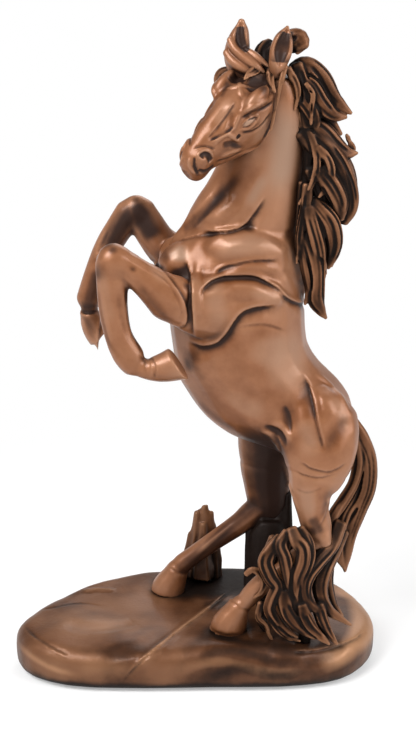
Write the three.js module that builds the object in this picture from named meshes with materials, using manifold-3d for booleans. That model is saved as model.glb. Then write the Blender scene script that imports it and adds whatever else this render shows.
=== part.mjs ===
// A rearing horse figurine: a cold-cast copper ornament on an oval ground.
// It is cast in sections that are pinned and bonded together, with steel rods up the standing legs.
// Millimetres, +Z up. The horse faces -X and its left side is towards -Y.
// The exported origin is the middle of the felt's underside.

import * as THREE from 'three';
import { mergeVertices } from 'three/addons/utils/BufferGeometryUtils.js';
import Module from 'manifold-3d';

const wasm = await Module();
wasm.setup();

// Ground
const plinthLength = 187;
const plinthWidth = 98;
const plinthHeight = 22.5;
const plinthFootInset = 6;
const plinthShoulderDrop = 10;
const plinthCrownInset = 13;
const spireSetback = 14;
const groundRoot = 6;
const feltThickness = 1.5;
const feltInset = 4;

// Joints between the castings
const seamGap = 0.3;
const dowelDiameter = 3;
const dowelLength = 20;
const headDowelBehindPoll = 6;
const tailDowelLength = 14;
const groundDowelDiameter = 4;
const groundDowelLength = 18;

// Armature rods and what clamps them under the ground
const rodDiameter = 3;
const rodTail = 1.5;
const rodRecess = 3;
const washerDiameter = 9;
const washerThickness = 0.8;
const nutAcrossFlats = 5.5;
const nutHeight = 2.4;
const toolClearance = 1.5;

// Hooves
const hindHoofHalfLength = 9;
const hindHoofHalfWidth = 8;
const foreHoofHalfLength = 8.5;
const foreHoofHalfWidth = 7;
const pasternHalfWidth = 5;

// Head: where the poll is and how the face is turned from it
const headYaw = 34;
const headPitch = 40;
const headRoll = -20;
const pollX = 33;
const pollY = -6;
const pollZ = 279;

// How finely the forms are faceted
const bodySides = 16;
const headSides = 14;
const thighSides = 12;
const limbSides = 10;
const lockSides = 7;
const ringsPerSection = 2;
const muscleSides = 10;
const holeSides = 8;
const boreSides = 24;
const nutSides = 6;
const rodSteps = 20;
const plinthSides = 40;

const copper = { color: 0xaf734b, roughness: 0.32, metalness: 0.9 };
const darkCopper = { color: 0x5a3d2c, roughness: 0.4, metalness: 0.85 };
const steel = { color: 0x8d9094, roughness: 0.35, metalness: 1 };
const felt = { color: 0x2b2f2c, roughness: 0.95, metalness: 0 };

const acrossHorse = new THREE.Vector3(0, 1, 0);
const upright = new THREE.Vector3(0, 0, 1);
const rodHoleRadius = rodDiameter / 2 + seamGap;
const overcut = 1;

// A section of a form: its centre, its half width across the horse and its half depth in profile.
function section(x, y, z, halfWidth, halfDepth) {
  return { centre: new THREE.Vector3(x, y, z), halfWidth, halfDepth };
}

// A section placed from the poll, for what moves with the head.
function fromPoll(x, y, z, halfWidth, halfDepth) {
  return section(pollX + x, pollY + y, pollZ + z, halfWidth, halfDepth);
}

// Solids from closed three.js geometry, and back again

function solidOf(geometry) {
  geometry.deleteAttribute('normal');
  geometry.deleteAttribute('uv');
  const merged = mergeVertices(geometry, 1e-4);
  return new wasm.Manifold(new wasm.Mesh({
    numProp: 3,
    vertProperties: new Float32Array(merged.attributes.position.array),
    triVerts: new Uint32Array(merged.index.array),
  }));
}

function geometryOf(solid) {
  const mesh = solid.getMesh();
  const geometry = new THREE.BufferGeometry();
  geometry.setAttribute('position', new THREE.BufferAttribute(mesh.vertProperties, 3));
  geometry.setIndex(new THREE.BufferAttribute(mesh.triVerts, 1));
  geometry.computeVertexNormals();
  return geometry;
}

function join(solids) {
  return solids.reduce((whole, next) => whole.add(next));
}

function cut(solid, ...tools) {
  return tools.reduce((rest, tool) => rest.subtract(tool), solid);
}

// The largest body of a solid, without the slivers that a cut can leave.
function mainBody(solid) {
  const bodies = solid.decompose();
  return bodies.reduce((largest, body) => (body.volume() > largest.volume() ? body : largest));
}

// Forms

// Rings of points, each with as many points as the next, closed at both ends.
function skin(rings) {
  const sides = rings[0].length;
  const points = rings.flat();
  const first = points.length;
  const last = first + 1;
  for (const ring of [rings[0], rings[rings.length - 1]]) {
    const middle = new THREE.Vector3();
    ring.forEach((point) => middle.add(point));
    points.push(middle.divideScalar(sides));
  }
  const index = [];
  for (let i = 0; i < sides; i += 1) {
    const j = (i + 1) % sides;
    index.push(first, j, i);
    for (let k = 0; k + 1 < rings.length; k += 1) {
      const low = k * sides;
      const high = low + sides;
      index.push(low + i, low + j, high + j, low + i, high + j, high + i);
    }
    const top = (rings.length - 1) * sides;
    index.push(last, top + i, top + j);
  }
  const geometry = new THREE.BufferGeometry().setFromPoints(points);
  geometry.setIndex(index);
  return solidOf(geometry);
}

// A smooth form through sections, from one section to another, grown all round by a clearance.
// Its rings stand square to its path, or lie level.
function loft(sections, options = {}) {
  const { sides = limbSides, level = false, grow = 0, from = 0, to = sections.length - 1 } = options;
  const sizes = sections.map((s) => new THREE.Vector3(s.halfWidth, s.halfDepth, 0));
  const path = new THREE.CatmullRomCurve3(sections.map((s) => s.centre));
  const girth = new THREE.CatmullRomCurve3(sizes);
  const count = (to - from) * ringsPerSection;
  const rings = [];
  for (let k = 0; k <= count; k += 1) {
    const u = (from + k / ringsPerSection) / (sections.length - 1);
    const centre = path.getPoint(u);
    const along = path.getTangent(u);
    const size = girth.getPoint(u);
    const end = k === 0 ? -1 : Number(k === count);
    centre.addScaledVector(along, end * grow);
    const facing = level ? upright : along;
    const width = acrossHorse.clone().addScaledVector(facing, -acrossHorse.dot(facing)).normalize();
    const depth = facing.clone().cross(width);
    rings.push(Array.from({ length: sides }, (_, i) => {
      const turn = (2 * Math.PI * i) / sides;
      return centre.clone()
        .addScaledVector(width, (size.x + grow) * Math.cos(turn))
        .addScaledVector(depth, (size.y + grow) * Math.sin(turn));
    }));
  }
  return skin(rings);
}

// A muscle: an ellipsoid of three half sizes, tilted in profile and then turned about the vertical.
// The one on the other side of the horse or head is its mirror image.
function muscle({ centre, half, tilt = 0, turn = 0 }, side = 1, grow = 0) {
  const geometry = new THREE.SphereGeometry(1, muscleSides, muscleSides / 2 + 1);
  geometry.scale(half[0] + grow, half[1] + grow, half[2] + grow);
  geometry.rotateY(THREE.MathUtils.degToRad(tilt));
  geometry.rotateZ(THREE.MathUtils.degToRad(side * turn));
  geometry.translate(centre[0], side * centre[1], centre[2]);
  return solidOf(geometry);
}

function onBothSides(muscles, grow) {
  return muscles.flatMap((shape) => [muscle(shape, 1, grow), muscle(shape, -1, grow)]);
}

// A round bar along a smooth path.
function bar(points, radius) {
  const outline = new THREE.Shape().absarc(0, 0, radius, 0, 2 * Math.PI);
  const extrudePath = new THREE.CatmullRomCurve3(points);
  const curveSegments = holeSides / 2;
  return solidOf(new THREE.ExtrudeGeometry(outline, { steps: rodSteps, extrudePath, curveSegments }));
}

// An upright round or hexagonal prism between two heights.
function post(x, y, bottom, top, radius, sides = holeSides) {
  const geometry = new THREE.CylinderGeometry(radius, radius, top - bottom, sides);
  geometry.rotateX(Math.PI / 2);
  geometry.translate(x, y, (bottom + top) / 2);
  return solidOf(geometry);
}

// A dowel centred on a point, and the hole that takes it.
function dowel(centre, along, diameter, length, clearance = 0) {
  const radius = diameter / 2 + clearance;
  const geometry = new THREE.CylinderGeometry(radius, radius, length + 2 * clearance, holeSides);
  geometry.applyQuaternion(new THREE.Quaternion().setFromUnitVectors(acrossHorse, along.clone().normalize()));
  geometry.translate(centre.x, centre.y, centre.z);
  return solidOf(geometry);
}

// Ground, with its top at z = 0 in the horse's own frame

// The ground's outline, as shares of its half length and half width,
// from the end behind the tail round by the far side.
const plinthOutline = [
  [1, -0.06], [0.95, 0.4], [0.78, 0.82], [0.4, 1],
  [-0.05, 1], [-0.36, 0.9], [-0.66, 0.6], [-0.88, 0.2],
  [-1, -0.26], [-0.93, -0.68], [-0.7, -0.94], [-0.35, -1],
  [0.1, -0.98], [0.55, -0.95], [0.8, -0.8], [0.95, -0.45],
];

function plinthRing(inset, z) {
  const halfLength = plinthLength / 2 - inset;
  const halfWidth = plinthWidth / 2 - inset;
  const corners = plinthOutline.map(([x, y]) => new THREE.Vector3(x * halfLength, y * halfWidth, z));
  const outline = new THREE.CatmullRomCurve3(corners, true);
  return outline.getPoints(plinthSides).slice(0, plinthSides);
}

function plinthForm(grow = 0) {
  const rings = [plinthRing(plinthFootInset - grow, -plinthHeight)];
  const below = plinthHeight - plinthShoulderDrop;
  for (const turn of [30, 60, 90]) {
    const angle = THREE.MathUtils.degToRad(turn);
    const inset = plinthFootInset * (1 - Math.sin(angle));
    rings.push(plinthRing(inset - grow, -plinthShoulderDrop - below * Math.cos(angle)));
  }
  for (const turn of [25, 50, 72, 90]) {
    const angle = THREE.MathUtils.degToRad(turn);
    const inset = plinthCrownInset * (1 - Math.cos(angle));
    rings.push(plinthRing(inset - grow, grow - plinthShoulderDrop * (1 - Math.sin(angle))));
  }
  return skin(rings);
}

// Trunk, neck and thighs

const barrelSections = [
  section(63, 0, 86, 6, 9),
  section(56, 0, 93, 16, 23),
  section(48.5, 0, 101, 22, 33),
  section(42, 0, 109.5, 25, 37.5),
  section(37.6, 0, 118.5, 26, 39.6),
  section(32.4, 0, 127, 27, 38.9),
  section(25.8, 0, 136, 28.5, 36.2),
  section(21.6, 0, 147, 29.5, 33.7),
  section(20.2, 0, 162, 30, 33.8),
  section(19, 0, 178, 28, 34.5),
  section(19, 0, 191, 24.5, 33.5),
  section(21, 0, 200, 20.5, 30),
  section(23, 0, 206, 17, 25),
];
const neckSections = [
  section(20, 0, 192, 17, 27),
  section(24, 0, 205, 18, 27.5),
  section(28.6, 0, 218, 15.5, 24.2),
  section(31.6, 0, 230, 13.5, 21.8),
  section(34.4, -1, 242, 12, 19.5),
  fromPoll(4.3, 3, -24, 11, 16.7),
  fromPoll(6, 1, -10, 10, 12.5),
  fromPoll(5, 0, 0, 8.5, 8.5),
];

const leftThighSections = [
  section(53, -11, 123, 12, 13),
  section(59, -17, 109, 14.5, 22),
  section(61, -21, 97, 13, 19.5),
  section(60, -22.5, 86, 11.5, 16),
  section(57.5, -23, 76, 9, 11),
  section(58, -23, 65, 7, 7.8),
  section(61, -23, 54, 6.2, 7.5),
  section(62.5, -23, 47, 4, 4.5),
];
const rightThighSections = [
  section(50, 11, 119, 12, 13),
  section(44, 15, 104, 14.5, 21),
  section(38.5, 17.5, 89, 12, 18),
  section(36.5, 18.5, 76, 10, 14.5),
  section(37, 19.5, 63, 8.5, 12.5),
  section(38, 20, 52, 7.5, 11.5),
  section(37, 20, 44, 5.5, 8),
];
const legStart = 3;

const leftArmSections = [
  section(24, -18, 172, 11, 17),
  section(8, -23, 171, 11, 17),
  section(-5, -26.5, 174, 9.5, 13.5),
  section(-15.5, -28, 180, 8, 10),
  section(-26, -28, 188, 6.8, 7.6),
  section(-36, -28, 194.5, 6.8, 7.4),
  section(-40.5, -28, 197, 4.5, 5),
];
const rightArmSections = [
  section(16, 17, 172, 11, 17),
  section(2, 20, 177, 10.5, 15),
  section(-9.5, 22, 184, 8.8, 12),
  section(-19.5, 23, 192.5, 7.2, 9),
  section(-27, 23, 202.5, 6.2, 7.2),
  section(-32.5, 23, 209.5, 4.5, 5),
];
const armStart = 2;

const trunkMuscles = [
  { centre: [24, 15.5, 194], half: [22, 9, 15], tilt: 15 }, // shoulder
  { centre: [23, 20, 177], half: [22, 10, 12], tilt: 5 }, // upper arm
  { centre: [-8, 8, 188], half: [11, 10, 12], tilt: 15 }, // breast
  { centre: [64, 11, 106], half: [15, 13, 18], tilt: -30 }, // rump
];

function trunkForm(grow = 0) {
  return join([
    loft(barrelSections, { sides: bodySides, level: true, grow }),
    loft(leftThighSections, { sides: thighSides, grow, to: legStart }),
    loft(rightThighSections, { sides: thighSides, grow, to: legStart }),
    loft(leftArmSections, { grow, to: armStart }),
    loft(rightArmSections, { grow, to: armStart }),
    ...onBothSides(trunkMuscles, grow),
  ]);
}

function neckForm(grow = 0) {
  return loft(neckSections, { sides: bodySides, grow });
}

// Head, in a frame with its origin at the poll: x down the face, y to the horse's left, z out of the face

const headTurn = new THREE.Matrix4().makeRotationZ(THREE.MathUtils.degToRad(180 + headYaw))
  .multiply(new THREE.Matrix4().makeRotationY(THREE.MathUtils.degToRad(headPitch)))
  .multiply(new THREE.Matrix4().makeRotationX(THREE.MathUtils.degToRad(headRoll)));
const headPlace = new THREE.Matrix4().makeTranslation(pollX, pollY, pollZ).multiply(headTurn);
const downFace = new THREE.Vector3(1, 0, 0).transformDirection(headPlace);

function onHead(x, y, z) {
  return new THREE.Vector3(x, y, z).applyMatrix4(headPlace);
}

function placedOnHead(solid) {
  return solid.transform(headPlace.elements);
}

const headSections = [
  section(-5, 0, -4.7, 6.5, 5),
  section(2, 0, -5, 9.5, 10.7),
  section(9, 0, -5.9, 11.6, 14.3),
  section(16, 0, -6.5, 12.6, 16.2),
  section(23, 0, -7.3, 12.4, 17.4),
  section(30, 0, -7.2, 11.2, 17),
  section(37, 0, -5.8, 9.6, 14.9),
  section(44, 0, -4, 8, 12.2),
  section(50, 0, -2.8, 7.2, 9.9),
  section(55, 0, -2.9, 7, 8.8),
  section(59, 0, -3.6, 5.6, 7),
  section(62, 0, -4, 3, 3.4),
];

const faceMuscles = [
  { centre: [16, 9.8, 6.2], half: [9, 3.8, 4.4] }, // brow
  { centre: [16, 7, -12.7], half: [13, 4.8, 10.5] }, // cheek
  { centre: [52.5, 4.8, 2.2], half: [4.8, 3, 4] }, // nostril
];
const chin = { centre: [56, 0, -9], half: [5, 4.5, 3.4] };

function headForm(grow = 0) {
  return placedOnHead(join([
    loft(headSections, { sides: headSides, grow }),
    ...onBothSides(faceMuscles, grow),
    muscle(chin, 1, grow),
  ]));
}

// Ears: a leaf with its cup scooped out

const leftEarSections = [
  fromPoll(5.5, -7, -2, 3.4, 3.4),
  fromPoll(6, -7.5, 3, 4.6, 4.6),
  fromPoll(7.5, -7.5, 10, 5.2, 5.2),
  fromPoll(9, -7.5, 17, 4, 4),
  fromPoll(9.5, -7.5, 22.5, 1, 1),
];
const leftEarCup = muscle({ centre: [pollX + 8, pollY - 13.5, pollZ + 12], half: [3.4, 5, 9], tilt: 12 });
const rightEarSections = [
  fromPoll(-8.5, 3.5, -4, 5, 7),
  fromPoll(-10.5, 4, 2.5, 6, 7.6),
  fromPoll(-13, 5, 10, 5.6, 6.6),
  fromPoll(-12, 5, 18, 4.2, 4.6),
  fromPoll(-11, 5, 25, 1.2, 1.4),
];
const rightEarCup = muscle({ centre: [pollX - 9, pollY - 0.5, pollZ + 15], half: [4, 4.6, 9], tilt: 8 });

// Hair: each lock is a form that tapers to its tip

function locks(paths, grow = 0) {
  return join(paths.map((sections) => loft(sections, { sides: lockSides, grow })));
}

const hair = {};

hair.forelock = [
  [
    fromPoll(-2, 2, -2, 6, 5),
    fromPoll(1, 2, 5, 5.5, 5),
    fromPoll(6, 2, 11, 5, 4.4),
    fromPoll(11, 1.5, 15.5, 4.2, 4),
    fromPoll(16, 1, 17.5, 3.4, 3.2),
    fromPoll(19, 0, 13, 2.4, 2.4),
    fromPoll(17, -1, 8.5, 1, 1),
  ],
];
hair.mane_upper = [
  [
    fromPoll(9, 1, -3, 8, 6),
    fromPoll(17, 2, 0.5, 9, 7.5),
    section(58, -3, 273.5, 10, 9),
    section(66, -3, 265, 7, 6),
    section(73.5, -4, 260.5, 1.5, 1.5),
  ],
  [
    fromPoll(11, 3, -13, 8, 7),
    section(54, -1, 265, 10, 9),
    section(62, 1, 257, 8, 6),
    section(69.5, 2, 250.5, 1.5, 1.5),
  ],
];
hair.mane_middle = [
  [
    section(46, -2, 252, 9, 8),
    section(57, -1, 249, 11, 9.5),
    section(68, -2, 241, 9, 7.5),
    section(72.5, -3, 226, 7, 5.5),
    section(71.5, -4, 208.5, 1.5, 1.5),
  ],
  [
    section(46, -5, 240, 9, 8),
    section(57, -7, 233, 10, 8),
    section(64, -8, 218, 9, 7.5),
    section(67.5, -8, 203, 6, 5),
    section(66, -8, 188, 1.5, 1.5),
  ],
];
hair.mane_lower = [
  [
    section(42, 0, 226, 11, 8),
    section(54, 0, 220, 11, 7.5),
    section(60, -1, 205, 10, 7),
    section(62.5, -3, 189, 7, 5),
    section(61, -4, 176, 1.5, 1.5),
  ],
  [
    section(44, -9, 215, 7, 6),
    section(53, -11, 202, 7, 5.5),
    section(57, -11, 187, 6.5, 5),
    section(60, -10, 173, 4.5, 3.6),
    section(62.5, -8, 161.5, 1, 1),
  ],
];

const tailSections = [
  section(67, 0, 106, 5, 5),
  section(76.5, 0, 104, 5, 4.6),
  section(83.5, 0, 95, 6.5, 5.8),
  section(86.8, 0, 82, 8, 6.8),
  section(85.5, -2, 70, 9.5, 8),
  section(81.5, -5, 59, 9.5, 8.5),
  section(77.5, -7, 48, 8, 7),
  section(75.5, -8, 37, 5.5, 4.6),
  section(77.5, -8, 26, 1.2, 1.2),
];

const cascadeLocks = [
  [
    section(36, -31, 43, 2, 2),
    section(41.5, -33, 35, 4.5, 4.5),
    section(38, -34, 22.5, 4.5, 4.5),
    section(43, -35, 11, 4.5, 4.5),
    section(51, -36, 2, 3, 3),
  ],
  [
    section(43, -30, 46, 3, 3.5),
    section(47.5, -33, 37, 5, 5),
    section(42.5, -35, 23, 5, 5),
    section(48.5, -36, 11, 5, 4.5),
    section(62, -35, 1.5, 3, 2.5),
  ],
  [
    section(50, -29, 50, 3.5, 3.5),
    section(55, -32, 42, 5, 5),
    section(51, -34, 29, 5.5, 5),
    section(55.5, -35, 17, 5, 5),
    section(68, -33, 2.5, 3, 3),
  ],
  [
    section(74, -14, 48, 6, 5),
    section(65.5, -24, 43, 6, 5),
    section(60.5, -29, 33, 6, 5),
    section(59.5, -31, 22, 5.5, 5),
    section(66, -30, 11, 5, 4.5),
    section(78, -26, 3.5, 2, 2),
  ],
  [
    section(35, -33, 24, 3, 3),
    section(33.5, -34, 13, 3, 3),
    section(36, -36, 6.5, 3, 3),
    section(38, -38, 1, 2, 2),
  ],
  [
    section(56, -27, 40, 10, 14),
    section(54, -28, 24, 10, 15),
    section(56, -29, 8, 10, 18),
    section(57, -29, -1, 9, 18),
  ],
];

// Legs

function hindHoof(toeX, y, lean) {
  return [
    section(toeX + 2 * lean, y, 15, pasternHalfWidth, pasternHalfWidth),
    section(toeX + lean, y, 9.5, hindHoofHalfWidth - 2, hindHoofHalfWidth - 2),
    section(toeX, y, 3.5, hindHoofHalfWidth - 0.6, hindHoofHalfLength - 1),
    section(toeX - 0.4, y, seamGap, hindHoofHalfWidth, hindHoofHalfLength),
  ];
}

const leftCannonSections = [
  section(66, -23, 50, 5, 5.5),
  section(60, -23, 47, 6, 6.8),
  section(52, -23, 40, 5.2, 5.4),
  section(42, -23, 32, 4.8, 5),
  section(33, -23, 24.5, 5.2, 5.6),
  section(28, -23, 19, 5, 5.4),
  section(24, -23, 14, pasternHalfWidth - 0.5, 4.6),
];
const leftHoofSections = hindHoof(16, -23, 4);
const rightCannonSections = [
  section(40, 20, 51, 5.5, 6),
  section(34, 20, 48.5, 7, 8),
  section(23, 20, 39.6, 5.8, 6.2),
  section(10, 20, 30, 5, 5.4),
  section(-2, 20, 20.8, 4.9, 5.2),
  section(-7.5, 20, 16.2, 5.2, 5.6),
  section(-11, 20, 12.5, pasternHalfWidth - 0.5, 4.8),
];
const rightHoofSections = hindHoof(-16, 20, 3);

const leftForeCannonSections = [
  section(-37.5, -28, 200, 4, 5),
  section(-39, -28, 195, 7.2, 8.4),
  section(-39.8, -28, 185, 6.4, 7.4),
  section(-40.2, -28, 173, 5.6, 6.4),
  section(-38.3, -28, 159.5, 5.4, 5.8),
  section(-34.2, -28, 148.8, 5.8, 6.2),
  section(-30, -28, 143.4, 5.6, 6),
  section(-26, -28, 141, 3, 3.2),
];
const leftForeHoofSections = [
  section(-33.5, -28, 145, 4, 4.4),
  section(-25, -28, 141.6, pasternHalfWidth, 5),
  section(-18, -28, 141, foreHoofHalfWidth - 1.2, 6.2),
  section(-12, -28, 142.5, foreHoofHalfWidth - 0.4, 7.6),
  section(-8.5, -28, 144.5, foreHoofHalfWidth, foreHoofHalfLength),
];
const rightForeCannonSections = [
  section(-28.5, 23, 212, 4, 4.5),
  section(-32.8, 23, 206.5, 6.6, 7.4),
  section(-38.6, 23, 197, 5.8, 6.2),
  section(-45.4, 23, 185, 5.2, 5.6),
  section(-50.8, 23, 171.5, 5, 5.2),
  section(-53.8, 23, 162, 5.4, 5.6),
  section(-55, 23, 157, 3, 3.2),
];
const rightForeHoofSections = [
  section(-52.5, 23, 165, 4, 4),
  section(-54.3, 23, 157, pasternHalfWidth - 0.4, 4.4),
  section(-53.8, 23, 150.5, foreHoofHalfWidth - 1.2, 5.6),
  section(-51.3, 23, 145.5, foreHoofHalfWidth - 0.4, 6.8),
  section(-48.5, 23, 143, foreHoofHalfWidth, foreHoofHalfLength),
];

function hindLegForm(thigh, cannon, hoof, grow = 0) {
  return join([
    loft(thigh, { sides: thighSides, grow, from: legStart }),
    loft(cannon, { grow }),
    loft(hoof, { grow }),
  ]);
}

function foreLegForm(arm, cannon, hoof, grow = 0) {
  return join([
    loft(arm, { grow, from: armStart }),
    loft(cannon, { grow }),
    loft(hoof, { grow }),
  ]);
}

// Ground dressing

const spireY = plinthWidth / 2 - spireSetback;
const spireSections = [
  section(3, spireY, -groundRoot, 8, 12),
  section(2, spireY, 12, 7.2, 11),
  section(3.2, spireY, 25, 6, 9.6),
  section(4.4, spireY - 0.5, 33, 4.6, 8),
  section(4.2, spireY - 1, 41, 2.4, 3.4),
  section(4.4, spireY - 1, 45, 1.2, 1.6),
];
const stumpSections = [
  section(38, 13, -groundRoot, 11, 14),
  section(37.5, 13, 12, 10, 12.5),
  section(37, 13.5, 26, 9, 11.5),
  section(37.5, 14, 38, 8, 11),
  section(38, 14, 46, 5, 8),
];

// Armature: each rod runs up through its leg on the leg's own middle line

const rodBottom = -plinthHeight + rodRecess;
const nutBottom = rodBottom + rodTail;
const washerBottom = nutBottom + nutHeight + seamGap;
const counterboreTop = washerBottom + washerThickness + seamGap;
const counterboreRadius = washerDiameter / 2 + toolClearance;

function rodPath(thigh, cannon, hoof) {
  const foot = hoof[hoof.length - 1].centre;
  return [
    new THREE.Vector3(foot.x, foot.y, rodBottom),
    new THREE.Vector3(foot.x, foot.y, counterboreTop),
    new THREE.Vector3(foot.x, foot.y, 1),
    hoof[1].centre,
    cannon[4].centre,
    cannon[3].centre,
    cannon[2].centre,
    thigh[6].centre.clone().lerp(cannon[1].centre, 0.5),
    thigh[5].centre,
    thigh[4].centre,
    thigh[3].centre,
    thigh[2].centre,
  ];
}

const leftRodPath = rodPath(leftThighSections, leftCannonSections, leftHoofSections);
const rightRodPath = rodPath(rightThighSections, rightCannonSections, rightHoofSections);
const rodHoles = [leftRodPath, rightRodPath].map((path) => bar(path, rodHoleRadius));

// Dowels: where each one sits and the way that it points

function betweenSections(sections, first) {
  return sections[first + 1].centre.clone().sub(sections[first].centre);
}

const dowelPlaces = {
  neck_dowel: [neckSections[1].centre, betweenSections(neckSections, 0), dowelDiameter, dowelLength],
  head_dowel: [
    onHead(dowelLength / 2 - headDowelBehindPoll, 0, -6), downFace,
    dowelDiameter, dowelLength,
  ],
  left_foreleg_dowel: [
    leftArmSections[armStart].centre, betweenSections(leftArmSections, armStart),
    dowelDiameter, dowelLength,
  ],
  right_foreleg_dowel: [
    rightArmSections[armStart].centre, betweenSections(rightArmSections, armStart),
    dowelDiameter, dowelLength,
  ],
  tail_dowel: [
    tailSections[0].centre.clone().lerp(tailSections[2].centre, 0.5),
    tailSections[2].centre.clone().sub(tailSections[0].centre),
    dowelDiameter, tailDowelLength,
  ],
  cascade_dowel: [new THREE.Vector3(55, -31, 0), upright, groundDowelDiameter, groundDowelLength],
  spire_dowel: [new THREE.Vector3(4, spireY, 0), upright, groundDowelDiameter, groundDowelLength],
  stump_dowel: [new THREE.Vector3(38, 13, 0), upright, groundDowelDiameter, groundDowelLength],
};
const dowelHoles = {};
for (const [name, place] of Object.entries(dowelPlaces)) {
  dowelHoles[name] = dowel(...place, seamGap);
}

function counterbore({ x, y }) {
  return post(x, y, -plinthHeight - overcut, counterboreTop, counterboreRadius, boreSides);
}

// Castings: each later one is cut clear of the ones that it sits on

const castings = {};
const plinthGrown = plinthForm(seamGap);
const trunkGrown = trunkForm(seamGap);
const neckGrown = neckForm(seamGap);
const headGrown = headForm(seamGap);
const leftHindGrown = hindLegForm(leftThighSections, leftCannonSections, leftHoofSections, seamGap);
const rightHindGrown = hindLegForm(rightThighSections, rightCannonSections, rightHoofSections, seamGap);
const tailGrown = loft(tailSections, { grow: seamGap });

castings.plinth = cut(
  plinthForm(),
  ...rodHoles,
  counterbore(leftRodPath[0]), counterbore(rightRodPath[0]),
  dowelHoles.cascade_dowel, dowelHoles.spire_dowel, dowelHoles.stump_dowel,
);
castings.trunk = cut(
  trunkForm(), ...rodHoles,
  dowelHoles.neck_dowel, dowelHoles.left_foreleg_dowel, dowelHoles.right_foreleg_dowel, dowelHoles.tail_dowel,
);
castings.neck = cut(neckForm(), trunkGrown, dowelHoles.neck_dowel, dowelHoles.head_dowel);
castings.head = cut(headForm(), neckGrown, dowelHoles.head_dowel);
castings.left_foreleg = cut(
  foreLegForm(leftArmSections, leftForeCannonSections, leftForeHoofSections),
  trunkGrown, dowelHoles.left_foreleg_dowel);
castings.right_foreleg = cut(
  foreLegForm(rightArmSections, rightForeCannonSections, rightForeHoofSections),
  trunkGrown, dowelHoles.right_foreleg_dowel);
castings.left_hind_leg = cut(
  hindLegForm(leftThighSections, leftCannonSections, leftHoofSections),
  trunkGrown, plinthGrown, ...rodHoles);
castings.right_hind_leg = cut(
  hindLegForm(rightThighSections, rightCannonSections, rightHoofSections),
  trunkGrown, plinthGrown, ...rodHoles);
castings.tail = cut(loft(tailSections), trunkGrown, leftHindGrown, dowelHoles.tail_dowel);
castings.tail_cascade = cut(
  locks(cascadeLocks), leftHindGrown, tailGrown, plinthGrown, dowelHoles.cascade_dowel);
castings.rock_spire = cut(loft(spireSections), rightHindGrown, plinthGrown, dowelHoles.spire_dowel);
castings.support_stump = cut(
  loft(stumpSections), leftHindGrown, rightHindGrown, plinthGrown, dowelHoles.stump_dowel);

const crown = [headGrown, neckGrown, trunkGrown];
castings.left_ear = cut(loft(leftEarSections), leftEarCup, ...crown);
castings.right_ear = cut(loft(rightEarSections), rightEarCup, ...crown);
crown.push(loft(leftEarSections, { grow: seamGap }), loft(rightEarSections, { grow: seamGap }));
for (const [name, paths] of Object.entries(hair)) {
  castings[name] = cut(locks(paths), ...crown);
  crown.push(locks(paths, seamGap));
}

// Felt, rods, washers and nuts

castings.base_felt = skin([
  plinthRing(plinthFootInset + feltInset, -plinthHeight - feltThickness),
  plinthRing(plinthFootInset + feltInset, -plinthHeight),
]);

function clamp(side, path) {
  const { x, y } = path[0];
  const hole = post(x, y, rodBottom, counterboreTop, rodHoleRadius);
  const washer = post(x, y, washerBottom, washerBottom + washerThickness, washerDiameter / 2, boreSides);
  const nut = post(x, y, nutBottom, nutBottom + nutHeight, nutAcrossFlats / Math.sqrt(3), nutSides);
  castings[`${side}_hind_rod`] = bar(path, rodDiameter / 2);
  castings[`${side}_rod_washer`] = cut(washer, hole);
  castings[`${side}_rod_nut`] = cut(nut, hole);
}

clamp('left', leftRodPath);
clamp('right', rightRodPath);

for (const [name, place] of Object.entries(dowelPlaces)) {
  castings[name] = dowel(...place);
}

// The finished figurine, raised so that the felt's underside is at z = 0

function finishOf(name) {
  if (name === 'base_felt') {
    return felt;
  }
  if (/_(rod|washer|nut|dowel)$/.test(name)) {
    return steel;
  }
  return /mane|tail|forelock|spire|stump/.test(name) ? darkCopper : copper;
}

const figurine = new THREE.Group();
figurine.position.z = plinthHeight + feltThickness;
for (const [name, solid] of Object.entries(castings)) {
  const mesh = new THREE.Mesh(geometryOf(mainBody(solid)), new THREE.MeshStandardMaterial(finishOf(name)));
  mesh.name = name;
  figurine.add(mesh);
}

export default figurine;
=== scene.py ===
import math

import bpy
import numpy as np
import openvdb
from mathutils import Matrix, Vector


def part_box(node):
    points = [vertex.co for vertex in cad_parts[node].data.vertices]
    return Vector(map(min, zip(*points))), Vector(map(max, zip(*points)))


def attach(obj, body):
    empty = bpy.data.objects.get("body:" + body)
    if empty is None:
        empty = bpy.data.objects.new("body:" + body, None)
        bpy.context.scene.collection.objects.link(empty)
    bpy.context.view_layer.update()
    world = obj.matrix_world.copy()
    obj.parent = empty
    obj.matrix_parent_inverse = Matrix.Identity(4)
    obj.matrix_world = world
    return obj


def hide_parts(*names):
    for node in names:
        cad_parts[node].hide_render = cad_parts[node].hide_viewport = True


# A rearing horse figurine, sculpted as clay fields in millimetres over its packed castings
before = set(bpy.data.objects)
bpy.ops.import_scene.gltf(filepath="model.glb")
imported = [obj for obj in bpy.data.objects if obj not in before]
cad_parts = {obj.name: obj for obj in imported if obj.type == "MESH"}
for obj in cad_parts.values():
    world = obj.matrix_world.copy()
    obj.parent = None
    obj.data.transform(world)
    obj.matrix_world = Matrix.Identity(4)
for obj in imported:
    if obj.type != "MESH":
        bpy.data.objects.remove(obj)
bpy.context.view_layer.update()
mm = 0.001


# The photograph's camera

photo = {
    "width": 416,
    "height": 731,
    "focal": 1600.0,     # in pixels
    "distance": 800.0,   # from the aim point, mm
    "elevation": 18.0,   # degrees above the horizon
    "aimX": 6.0,
    "aimZ": 158.0,
}
lookDown = math.radians(photo["elevation"])
eye = np.array([
    photo["aimX"],
    -photo["distance"] * math.cos(lookDown),
    photo["aimZ"] + photo["distance"] * math.sin(lookDown),
])
lookWay = np.array([0.0, math.cos(lookDown), -math.sin(lookDown)])
lookUp = np.array([0.0, math.sin(lookDown), math.cos(lookDown)])
lookRight = np.array([1.0, 0.0, 0.0])


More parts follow.
